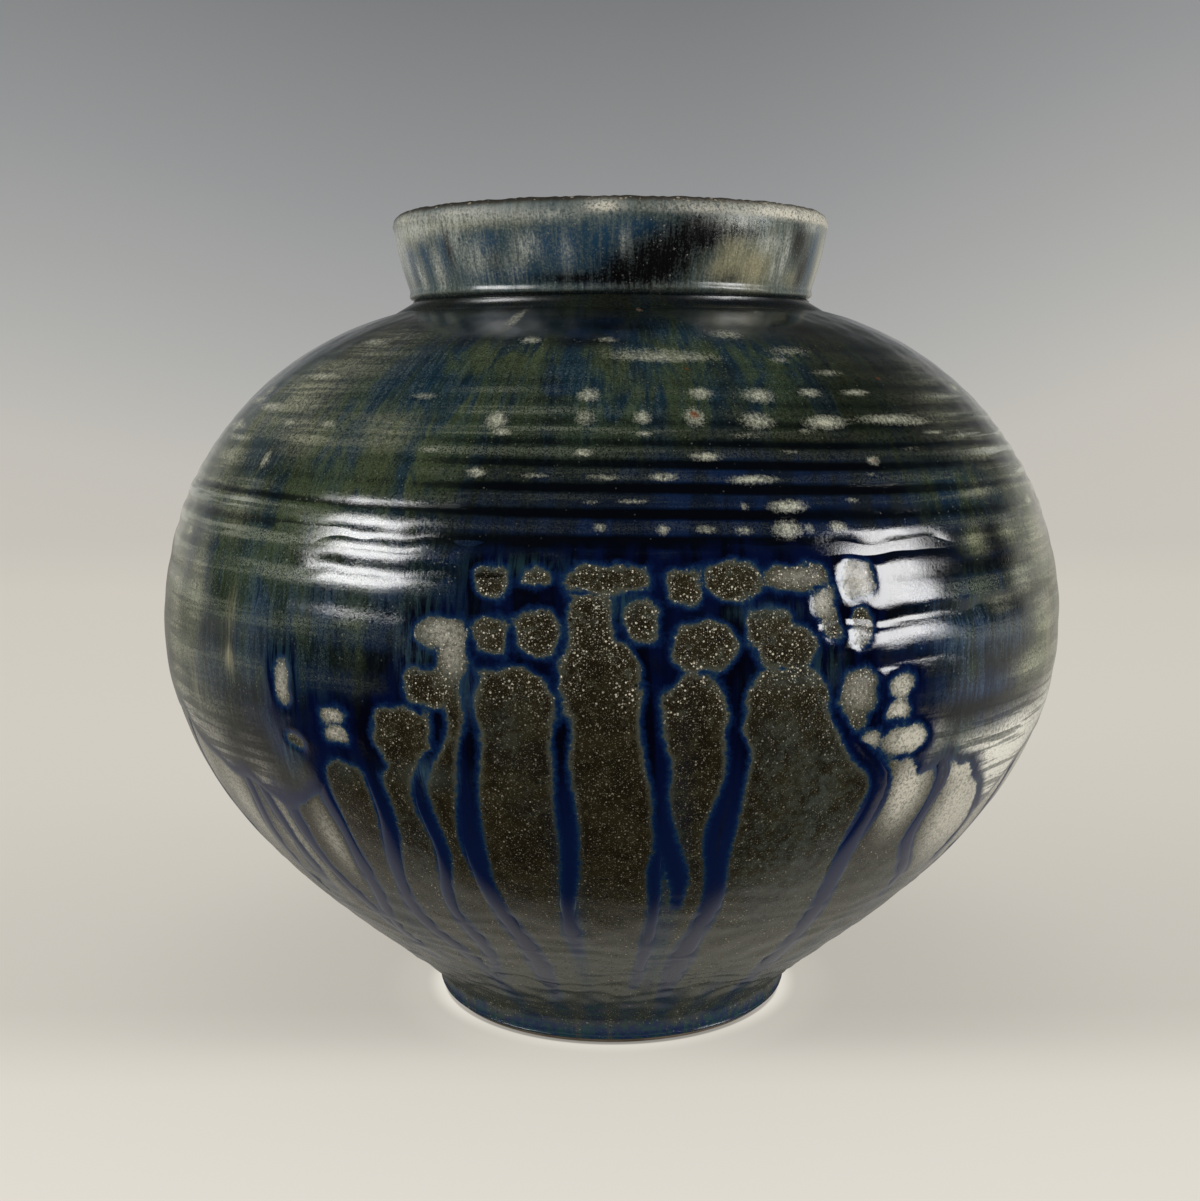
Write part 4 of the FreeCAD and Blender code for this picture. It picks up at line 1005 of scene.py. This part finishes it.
class Tone:
    """Colours of the wall's glazes, in linear light, with painted shade in the ring grooves and painted
    reflection in some pale and milky blue patches.
    """
    brown_black = (0.0085, 0.0062, 0.0022)
    brown = (0.0175, 0.0138, 0.0052)
    brown_patch = (0.030, 0.026, 0.013)
    low_green = (0.044, 0.050, 0.034)
    brown_by_net = (0.036, 0.027, 0.013)
    milk_edge = (0.090, 0.096, 0.074)
    dust = (0.135, 0.118, 0.078)
    crystal = (0.330, 0.295, 0.215)
    grain = (0.68, 0.62, 0.48)
    pit = (0.004, 0.003, 0.0015)
    cream = (0.50, 0.475, 0.395)
    blue_grey = (0.050, 0.066, 0.058)
    blue_stain = (0.0030, 0.0130, 0.052)
    teal_stain = (0.006, 0.033, 0.040)
    low_fringe = (0.024, 0.034, 0.034)
    net_fringe = (0.075, 0.090, 0.078)
    teal_blue = (0.008, 0.029, 0.054)
    cobalt = (0.0022, 0.0095, 0.042)
    blue_night = (0.0002, 0.0005, 0.0035)
    deep_blue = (0.0006, 0.0026, 0.019)
    run_blue = (0.0020, 0.0066, 0.034)
    milky_teal = (0.016, 0.044, 0.052)
    groove_blue = (0.0003, 0.0008, 0.0030)
    crest_blue = (0.0018, 0.0080, 0.031)
    groove_brown = (0.0022, 0.0022, 0.0010)
    crest_brown = (0.017, 0.017, 0.009)
    ash_green = (0.024, 0.042, 0.026)
    ash_blue = (0.0060, 0.024, 0.042)
    olive = (0.064, 0.076, 0.032)
    pale_teal = (0.088, 0.116, 0.104)
    pale_ash = (0.295, 0.290, 0.200)
    frost = (0.72, 0.74, 0.67)
    dusty_crest = (0.150, 0.165, 0.120)
    ring_shadow = (0.0005, 0.0010, 0.0022)
    ash_speck = (0.160, 0.170, 0.125)
    pale_spot = (0.40, 0.395, 0.30)
    spot_pit = (0.015, 0.014, 0.008)
    rust = (0.13, 0.035, 0.008)
    gold = (0.19, 0.175, 0.105)
    cream_and_reflection_line = (0.66, 0.64, 0.56)
    azure = (0.038, 0.068, 0.118)


def wall_glaze():
    """Brown ground, blue net and runs, and the ash glaze over the shoulder, by the depth of the blue."""
    mat = Recipe(bpy.data.materials.new("wall_glaze"))
    mix = mat.mix
    place = mat.place()
    ragged = mat.noise(place, 0.8, 3, 0.6)
    fine = mat.noise(place, 2.4, 3, 0.65)
    cloud = mat.noise(place, 0.14, 3, 0.6)
    patchy = mat.noise(place, 0.42, 3, 0.65, 0.6)
    granular = mat.noise(place, 1.25, 4, 0.75)
    thin_streak = mat.noise(mat.drum(1.0, 0.08), 0.95, 4, 0.65, 0.5)
    wide_streak = mat.noise(mat.drum(1.0, 0.10), 0.19, 3, 0.6, 0.8)
    band = mat.noise(mat.drum(0.06, 1.0), 0.50, 3, 0.6)
    level, crest, spot, olive, teal, navy, rust, stain, gold, ashy, cream, azure, clouded = (
        mat.read(name) for name in ("level", "crest", "spot", "olive", "teal", "navy", "rust", "stain",
                                    "gold", "ashy", "cream", "azure", "clouded"))

    # Zones up the wall, and how deep a place lies in the blue behind its ragged edge
    low = 1 - level.step(22, 74)
    mid = level.step(72, 102)
    high = level.step(84, 118)
    ashen = level.step(136, 150)
    edge = (ragged - 0.5) * (2.0 + 1.6 * low) + (fine - 0.5) * 1.1
    blue = (mat.read("blue") + edge) * (1 - 0.45 * low) + 0.12 * low
    net = mat.read("net") + edge

    # Brown ground: nearly black under a dense dust of crystals, which crowd under the blue net
    near_net = net.step(-9.0, -1.5) * high
    near_edge = blue.step(-1.5, -0.3)
    brown = mix(cloud.step(0.38, 0.66), Tone.brown_black, Tone.brown)
    brown = mix(patchy.step(0.50, 0.68) * 0.5, brown, Tone.brown_patch)
    brown = mix(low * (0.45 + 0.55 * granular.step(0.42, 0.60)), brown, Tone.low_green)
    brown = mix(near_net * 0.10, brown, Tone.brown_by_net)
    brown = mix(near_edge * (0.08 + 0.30 * mid), brown, Tone.milk_edge)
    crowd = (0.46 + 0.32 * near_net + 0.6 * (patchy - 0.5) + 0.10 * high).held()
    dust = mat.specks(place, 3.3, crowd, 0.32, 31.0)
    crystals = mat.specks(place, 2.1, crowd * 0.80, 0.29)
    grains = mat.specks(place, 1.45, (crowd - 0.30) * 0.85, 0.27, 53.0)
    pits = mat.specks(place, 0.8, 0.26, 0.27, 77.0)
    shine = 0.45 + 0.55 * fine.step(0.38, 0.58)
    brown = mix((dust * shine * 0.60).held(), brown, Tone.dust)
    brown = mix((crystals * shine * (0.30 + 0.50 * near_net + 0.30 * low)).held(), brown, Tone.crystal)
    brown = mix((grains * shine * (0.30 + 0.60 * near_net + 0.30 * low)).held(), brown, Tone.grain)
    brown = mix(pits * 0.8, brown, Tone.pit)
    # Pale ivory over the ground, partly a painted reflection of the table on the lower flanks
    creamy_and_reflected = (cream * (0.55 + 0.8 * granular.step(0.40, 0.56)) - near_edge * 0.1).held()
    brown = mix(creamy_and_reflected * 0.90, brown, Tone.cream)
    bluish = patchy.step(0.52, 0.66) * near_net * 0.35 + teal * 0.6 + clouded * patchy.step(0.30, 0.68)
    brown = mix(bluish.held() * 0.75, brown, Tone.blue_grey)
    stained = stain * (0.55 + 0.9 * granular.step(0.38, 0.60)) * (0.7 + wide_streak.step(0.3, 0.6) * 0.3)
    foot_stain = (1 - level.step(3.0, 7.0)) * wide_streak.step(0.34, 0.52) * 0.8
    stain_tone = mix(patchy.step(0.42, 0.60), Tone.blue_stain, Tone.teal_stain)
    brown = mix((stained.held() + foot_stain).held() * 0.95, brown, stain_tone)

    # Blue, from a milky edge through teal and cobalt to nearly black
    fringe = mix(mid, Tone.low_fringe, Tone.net_fringe)
    cobalt = mix(blue.step(-0.6, 0.1), fringe, Tone.teal_blue)
    cobalt = mix(blue.step(-0.2, 0.75), cobalt, Tone.cobalt)
    deep = mix(wide_streak.step(0.4, 0.6), Tone.blue_night, Tone.deep_blue)
    cobalt = mix(blue.step(0.45, 1.6), cobalt, mix(mid, Tone.run_blue, deep))
    cobalt = mix((teal * thin_streak.step(0.42, 0.58) * 0.9).held(), cobalt, Tone.milky_teal)

    # Ash glaze over the shoulder: black in the grooves, partly its own colour and partly painted shade,
    # blue on the crests, green and olive where it broke into ash
    granules = mat.noise(place, 2.7, 3, 0.7).step(0.40, 0.60)
    mottle = (granular * 0.8 + thin_streak * 0.2).step(0.42, 0.58)
    drift = mat.noise(mat.drum(1.0, 0.55), 0.045, 3, 0.6, 0.4).step(0.38, 0.60)
    veil = mat.noise(mat.drum(1.0, 0.30), 0.13, 3, 0.65, 0.9).step(0.40, 0.60)
    crest_line = crest.step(0.70, 1.0)
    broken = (olive + teal).held()
    blue_black = mix(crest.step(0.25, 0.95) * (0.35 + 0.65 * veil), Tone.groove_blue, Tone.crest_blue)
    brown_black = mix(mottle * crest.step(0.2, 0.9), Tone.groove_brown, Tone.crest_brown)
    ash = mix((navy * 1.3 - 0.1).held(), brown_black, blue_black)
    amount = (olive * 0.8 + teal * 0.9 + ashen * 0.25 * (1 - navy)) * (0.45 + 0.65 * drift)
    grained = 0.35 + 0.45 * granules + 0.35 * mottle
    ash = mix((amount.held() * grained).held(), ash, mix(veil, Tone.ash_green, Tone.ash_blue))
    yellow = olive * (1 - veil * 0.85) * (0.25 + 0.65 * granules + 0.25 * mottle) * 0.85
    ash = mix(yellow.held() * 0.9, ash, Tone.olive)
    pale_grain = teal * granules * (0.25 + 0.6 * mottle) * thin_streak.step(0.42, 0.60)
    ash = mix(pale_grain.held() * 0.6, ash, Tone.pale_teal)
    ashy_share = ashy * (0.10 + 0.6 * granules + 0.6 * mottle) * (0.5 + 0.7 * band.step(0.42, 0.58))
    ash = mix((ashy_share * (0.6 + 0.5 * crest)).held() * 0.95, ash, Tone.pale_ash)
    frost = ashy * crest_line * band.step(0.42, 0.54) * (0.3 + 0.8 * granules) * level.step(128, 152)
    ash = mix(frost.held(), ash, Tone.frost)
    dusty = crest_line * (0.12 + 0.8 * broken) * granules * (0.25 + band.step(0.42, 0.58))
    ash = mix(dusty.held() * 0.85, ash, Tone.dusty_crest)
    # Painted shade: the ring grooves are darkened further with the ring shadow colour
    groove = (1 - (crest - navy * 0.2 + (patchy - 0.5) * 0.7).step(0.05, 0.55)) * ashen
    groove = groove * (1 - 0.65 * broken * level.step(150, 166))
    ash = mix(groove * (0.62 + 0.30 * navy + 0.2 * (1 - drift)).held(), ash, Tone.ring_shadow)
    ash_specks = mat.specks(place, 1.5, 0.34 * broken + 0.04, 0.26, 11.0)
    ash = mix((ash_specks * 0.30).held(), ash, Tone.ash_speck)
    spotted = (spot * 1.55 * (0.42 + 0.75 * granules * mottle + 0.2 * mottle) - 0.16).held()
    ash = mix(spotted * 0.95, ash, Tone.pale_spot)
    ash = mix((spot.step(0.3, 0.8) * pits * 0.8).held(), ash, Tone.spot_pit)
    ash = mix((rust.step(0.3, 0.75) * (0.4 + 0.6 * granules)).held(), ash, Tone.rust)
    ash = mix((gold * (0.3 + thin_streak.step(0.42, 0.60))).held(), ash, Tone.gold)
    # Pale lines along the rings, partly a painted reflection of the table's edge
    pale_and_reflected_lines = cream * (0.35 + 1.2 * band.step(0.44, 0.55)) * (0.50 + 0.7 * granular.step(0.40, 0.58))
    ash = mix(pale_and_reflected_lines.held() * 0.95, ash, Tone.cream_and_reflection_line)

    # The three together
    field = blue.step(2.0, 6.0)
    glaze = mix(field, cobalt, ash)
    # Milky blue haze, partly the glaze and partly a painted reflection of the table
    haze_and_reflection = (azure * thin_streak.step(0.30, 0.66) * (0.5 + 0.6 * mottle)).held() * 0.70
    glaze = mix(haze_and_reflection, glaze, Tone.azure)
    glassy = blue.step(-0.50, 0.30) * (1 - low * (0.04 + 0.24 * granular.step(0.42, 0.60)))
    colour = mix(glassy, brown, glaze)

    # Gloss is broken by crystals and by dull ash
    dull = 1 - glassy
    rough = 0.045 + 0.11 * dull + 0.12 * crystals * dull
    rough = rough + field * granules * (ashy * 0.06 + spotted * 0.18 + 0.03) + level.step(190, 196) * 0.22
    bump = fine * (0.17 + 0.40 * dull) + (crystals * 0.9 + grains * 0.8 - pits * 0.7) * dull
    bump = bump + field * (mottle * 0.06 + ash_specks * 0.15 + spotted * 0.4) + granular * 0.22
    return mat.finish(colour, rough, bump, 0.075, 1.52)


class CollarTone:
    """Colours of the collar's glaze, in linear light."""
    teal = (0.014, 0.034, 0.040)
    green = (0.042, 0.052, 0.038)
    blue_grey = (0.110, 0.138, 0.125)
    navy = (0.008, 0.038, 0.078)
    tan = (0.225, 0.205, 0.120)
    night = (0.0022, 0.0020, 0.0024)
    pale = (0.38, 0.39, 0.345)
    # Painted shadow at the neck, and a painted highlight along the bead
    neck_shadow = (0.002, 0.003, 0.004)
    bead = (0.12, 0.125, 0.105)
    lip_brown = (0.026, 0.018, 0.010)
    lip_lump = (0.30, 0.25, 0.17)
    crust = (0.46, 0.43, 0.35)
    crystal = (0.34, 0.33, 0.27)


def collar_glaze():
    """Streaked glaze of the collar: blue-grey, black and tan in short strokes, crusted at the lip."""
    mat = Recipe(bpy.data.materials.new("collar_glaze"))
    mix = mat.mix
    place = mat.place()
    level, pale, tan, navy, night, crust = (
        mat.read(name) for name in ("level", "pale", "tan", "navy", "night", "crust"))
    stroke = mat.noise(mat.drum(1.0, 0.24), 0.60, 4, 0.65, 0.8)
    wide = mat.noise(mat.drum(1.0, 0.26), 0.20, 3, 0.6, 1.0)
    fine = mat.noise(place, 1.5, 4, 0.75)
    strokes = (stroke * 0.45 + fine * 0.55).step(0.38, 0.62)

    colour = mix(wide.step(0.38, 0.60), CollarTone.teal, CollarTone.green)
    colour = mix(strokes * 0.60, colour, CollarTone.blue_grey)
    navy_share = navy * (1.30 - 0.95 * strokes) * (0.6 + 0.6 * wide.step(0.34, 0.56))
    colour = mix(navy_share.held(), colour, CollarTone.navy)
    colour = mix((tan * (0.55 + 0.75 * strokes)).held(), colour, CollarTone.tan)
    colour = mix((night * (1.7 - 0.8 * strokes)).held(), colour, CollarTone.night)
    colour = mix((pale * (0.15 + 1.1 * strokes)).held(), colour, CollarTone.pale)

    # Painted shadow at the neck, a pale band on the bead that is a painted highlight, and the lip's brown
    # edge, lumps and crust
    colour = mix((1 - level.step(0.04, 0.13)) * 0.9, colour, CollarTone.neck_shadow)
    bead = level.step(0.06, 0.11) * (1 - level.step(0.15, 0.20))
    colour = mix((bead * (0.05 + 0.30 * strokes)).held(), colour, CollarTone.bead)
    edge = (level + (fine - 0.5) * 0.08).step(1.035, 1.075)
    colour = mix(edge * 0.9, colour, CollarTone.lip_brown)
    lumps = mat.specks(place, 0.85, 0.34, 0.32, 5.0)
    colour = mix((edge * lumps * 0.8).held(), colour, CollarTone.lip_lump)
    crusted = crust * level.step(0.88, 0.99) * (0.20 + 1.1 * fine.step(0.38, 0.56))
    colour = mix(crusted.held(), colour, CollarTone.crust)
    crystals = mat.specks(place, 1.2, 0.22, 0.26, 19.0)
    colour = mix((crystals * (0.05 + 0.28 * fine.step(0.4, 0.6))).held(), colour, CollarTone.crystal)

    rough = 0.15 + 0.16 * strokes + 0.34 * level.step(0.90, 1.0)
    bump = stroke * 0.3 + fine * 0.4 + edge * lumps * 2.0 + crystals * 0.4
    return mat.finish(colour, rough, bump, 0.09, 1.50)


def liner_glaze():
    """Dark brown glaze inside, with pale specks and a little blue."""
    mat = Recipe(bpy.data.materials.new("liner_glaze"))
    place = mat.place()
    stroke = mat.noise(mat.drum(1.0, 0.3), 0.35, 3, 0.6)
    fine = mat.noise(place, 1.2, 3, 0.6)
    colour = mat.mix(stroke.step(0.35, 0.65), (0.016, 0.013, 0.008), (0.040, 0.036, 0.022))
    colour = mat.mix(mat.specks(place, 0.9, 0.35, 0.28) * 0.7, colour, (0.16, 0.14, 0.10))
    colour = mat.mix(fine.step(0.55, 0.75) * 0.5, colour, (0.008, 0.018, 0.035))
    return mat.finish(colour, 0.12 + 0.12 * fine, fine, 0.1, 1.58)


def bare_clay(name, light, dark):
    """Fired stoneware body, toasted and specked with iron."""
    mat = Recipe(bpy.data.materials.new(name))
    place = mat.place()
    cloud = mat.noise(place, 0.08, 4, 0.6)
    sand = mat.noise(place, 2.6, 3, 0.7)
    shaded = tuple(0.6 * part for part in dark)
    colour = mat.mix(cloud.step(0.35, 0.65), light, dark)
    colour = mat.mix(sand.step(0.5, 0.7) * 0.35, colour, shaded)
    colour = mat.mix(mat.specks(place, 0.7, 0.30, 0.22) * 0.8, colour, (0.05, 0.025, 0.012))
    return mat.finish(colour, 0.78 + 0.12 * sand, sand, 0.12, 1.45)


# Lamps and stage, in metres
LAMP_DISTANCE = 1.1
TABLE_SIZE = (6.0, 3.6)
TABLE_MIDDLE = (0, -0.6, -0.0002)
BEND_RADIUS = 0.5
BEND_STEPS = 24
BACK_HEIGHT = 2.0
SELF_LIGHT = 0.80
ROOM_LIGHT = 0.52
ROOM_LIGHT_HIDDEN = 0.50

# Colour of the table and backdrop, by metres from the jar's axis to the back and then up; the dip just
# behind the jar's axis is a painted shadow band, and the darkening up the backdrop is painted shade
backdrop_stops = (
    (-0.6, (0.78, 0.745, 0.67)), (-0.13, (0.745, 0.71, 0.64)), (-0.075, (0.71, 0.68, 0.61)),
    (-0.03, (0.58, 0.55, 0.49)), (0.04, (0.59, 0.56, 0.50)), (0.2, (0.64, 0.61, 0.54)),
    (0.8, (0.66, 0.62, 0.55)), (1.45, (0.55, 0.53, 0.49)), (1.8, (0.405, 0.412, 0.405)),
    (2.4, (0.235, 0.250, 0.270)), (3.0, (0.090, 0.108, 0.130)), (3.6, (0.045, 0.052, 0.06)))


def light_panel(name, towards, away, width, height, watts):
    """A soft panel light that faces a point, seen from it in a direction."""
    lamp = bpy.data.lights.new(name, "AREA")
    lamp.shape = "RECTANGLE"
    lamp.size = width
    lamp.size_y = height
    lamp.energy = watts
    holder = bpy.data.objects.new(name, lamp)
    bpy.context.scene.collection.objects.link(holder)
    direction = Vector(away).normalized()
    holder.location = Vector(towards) + direction * LAMP_DISTANCE
    holder.rotation_euler = direction.to_track_quat("Z", "Y").to_euler()
    return holder


def make_backdrop():
    """Table top that curves up into the background, dark at its far top."""
    bpy.ops.object.select_all(action="DESELECT")
    bpy.ops.mesh.primitive_plane_add(size=1, location=(0, 0, 0))
    sweep = bpy.context.object
    sweep.name = "backdrop"
    sweep.scale = (*TABLE_SIZE, 1)
    sweep.location = TABLE_MIDDLE
    bpy.ops.object.transform_apply(location=True, scale=True)
    bpy.ops.object.mode_set(mode="EDIT")
    bpy.ops.mesh.select_all(action="DESELECT")
    bpy.ops.object.mode_set(mode="OBJECT")
    far = max(vertex.co.y for vertex in sweep.data.vertices)
    for vertex in sweep.data.vertices:
        vertex.select = vertex.co.y > far - 0.01
    for edge in sweep.data.edges:
        edge.select = all(sweep.data.vertices[index].select for index in edge.vertices)
    bpy.ops.object.mode_set(mode="EDIT")
    bpy.ops.mesh.select_mode(type="EDGE")
    length = BEND_RADIUS * math.pi / 2 / BEND_STEPS
    for step in range(BEND_STEPS):
        angle = math.pi / 2 * (step + 0.5) / BEND_STEPS
        bpy.ops.mesh.extrude_region_move(TRANSFORM_OT_translate={
            "value": (0, math.cos(angle) * length, math.sin(angle) * length)})
    bpy.ops.mesh.extrude_region_move(TRANSFORM_OT_translate={"value": (0, 0, BACK_HEIGHT)})
    bpy.ops.mesh.select_all(action="SELECT")
    bpy.ops.mesh.normals_make_consistent(inside=False)
    bpy.ops.object.mode_set(mode="OBJECT")
    bpy.ops.object.shade_smooth()
    return sweep


def backdrop_paint():
    """Pale paint with its own light, which reflections see as a dark room beyond the table."""
    mat = Recipe(bpy.data.materials.new("backdrop_paint"))
    x = mat.make("ShaderNodeSeparateXYZ", {}, {"Vector": mat.place()})
    y = x.beside("Y")
    z = x.beside("Z")
    glossy = mat.make("ShaderNodeLightPath", {}, {}, "Is Glossy Ray")
    # Painted shade: the backdrop darkens up from the table more slowly at the sides
    side = x.step(60, 1000) * 0.62 + (x * -1).step(100, 1000) * 0.36
    far = (y + z * 2.0) / 1000
    far = far - side * far.step(0.4, 2.2)
    first, last = backdrop_stops[0][0], backdrop_stops[-1][0]
    stops = [((where - first) / (last - first), colour) for where, colour in backdrop_stops]
    paint = mat.make("ShaderNodeValToRGB", {"stops": stops}, {0: ((far - first) / (last - first)).held()})

    # Painted light round the jar's foot, for light the jar throws back on the table, with a painted thin
    # shadow line under its edge and a faint painted shadow further out at the sides and back
    reach = (x * x + y * y) ** 0.5
    painted_light_and_shadow = (1 - reach.step(50, 56)) * (0.16 + 0.22 * y.step(-46, -20)) - (1 - reach.step(49.6, 50.4)) * 0.6
    painted_light_and_shadow = painted_light_and_shadow - (reach.step(56, 70) - reach.step(80, 180)) * 0.07 * y.step(-64, -40)
    glow = mat.make("ShaderNodeEmission", {}, {"Color": paint, "Strength": SELF_LIGHT + painted_light_and_shadow * (1 - glossy)})
    diffuse = mat.make("ShaderNodeBsdfDiffuse", {}, {"Color": (0.17, 0.16, 0.145)})
    lit = mat.make("ShaderNodeAddShader", {}, {0: diffuse, 1: glow})

    # Reflections see the dark room in front of the table's near edge and above the backdrop
    table = (1 - z.step(5, 60)) * (0.40 + 0.20 * (x * -1).step(150, 330))
    room = 1 - y.step(-125, -75) + (1 - reach.step(51.5, 58)) * 0.55 + z.step(500, 950) * 0.6 + table
    dark = mat.make("ShaderNodeEmission", {}, {"Color": (0.012, 0.012, 0.014)})
    return mat.show(mat.make("ShaderNodeMixShader", {}, {0: glossy * room.held(), 1: lit, 2: dark}))


def room_light():
    """Even light from the room, which reflections see as dark."""
    world = bpy.data.worlds.new("room")
    bpy.context.scene.world = world
    room = Recipe(world, "ShaderNodeOutputWorld")
    glossy = room.make("ShaderNodeLightPath", {}, {}, "Is Glossy Ray")
    room.show(room.make("ShaderNodeBackground", {}, {
        "Color": (0.95, 0.98, 1.0), "Strength": ROOM_LIGHT - ROOM_LIGHT_HIDDEN * glossy}))


def paint(piece, material):
    piece.data.materials.clear()
    piece.data.materials.append(material)


# Camera, as the photograph was taken
lens = bpy.data.cameras.new("camera")
lens.lens = 46.79
lens.sensor_width = 36
lens.sensor_fit = "HORIZONTAL"
camera = bpy.data.objects.new("camera", lens)
bpy.context.scene.collection.objects.link(camera)
camera.location = (-0.0030, -0.4490, 0.1811)
camera.rotation_euler = (math.radians(90 - 8.54), math.radians(0.17), 0)
bpy.context.scene.camera = camera
bpy.context.scene.view_settings.view_transform = "Standard"

# Lights are reflected on the left and on the right of the shoulder, at the first point given
room_light()
light_panel("left_panel", (-0.0545, -0.107, 0.140), (-0.845, -0.350, 0.405), 0.46, 0.33, 8.8)
light_panel("right_panel", (0.0626, -0.104, 0.132), (0.930, -0.300, 0.180), 0.45, 0.48, 10.2)
backdrop = make_backdrop()
paint(backdrop, backdrop_paint())

wall_paint = wall_glaze()
skins = (
    (make_ground_coat(), "ground_glaze", wall_paint),
    (make_ash_coat(), "ash_glaze", wall_paint),
    (make_glaze_runs(), "glaze_runs", wall_paint),
    (make_collar_coat(), "collar_glaze", collar_glaze()),
    (make_liner_coat(), "liner_glaze", liner_glaze()),
)
for skin, node, material in skins:
    paint(skin, material)
    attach(skin, "root")
    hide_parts(node)

clay = bare_clay("bare_clay", (0.165, 0.130, 0.095), (0.100, 0.074, 0.050))
coil_clay = bare_clay("coil_clay", (0.36, 0.28, 0.19), (0.24, 0.16, 0.10))
for node in ("foot_ring", "lower_bowl", "upper_bowl", "neck_collar", "belly_coil"):
    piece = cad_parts[node]
    paint(piece, coil_clay if node == "belly_coil" else clay)
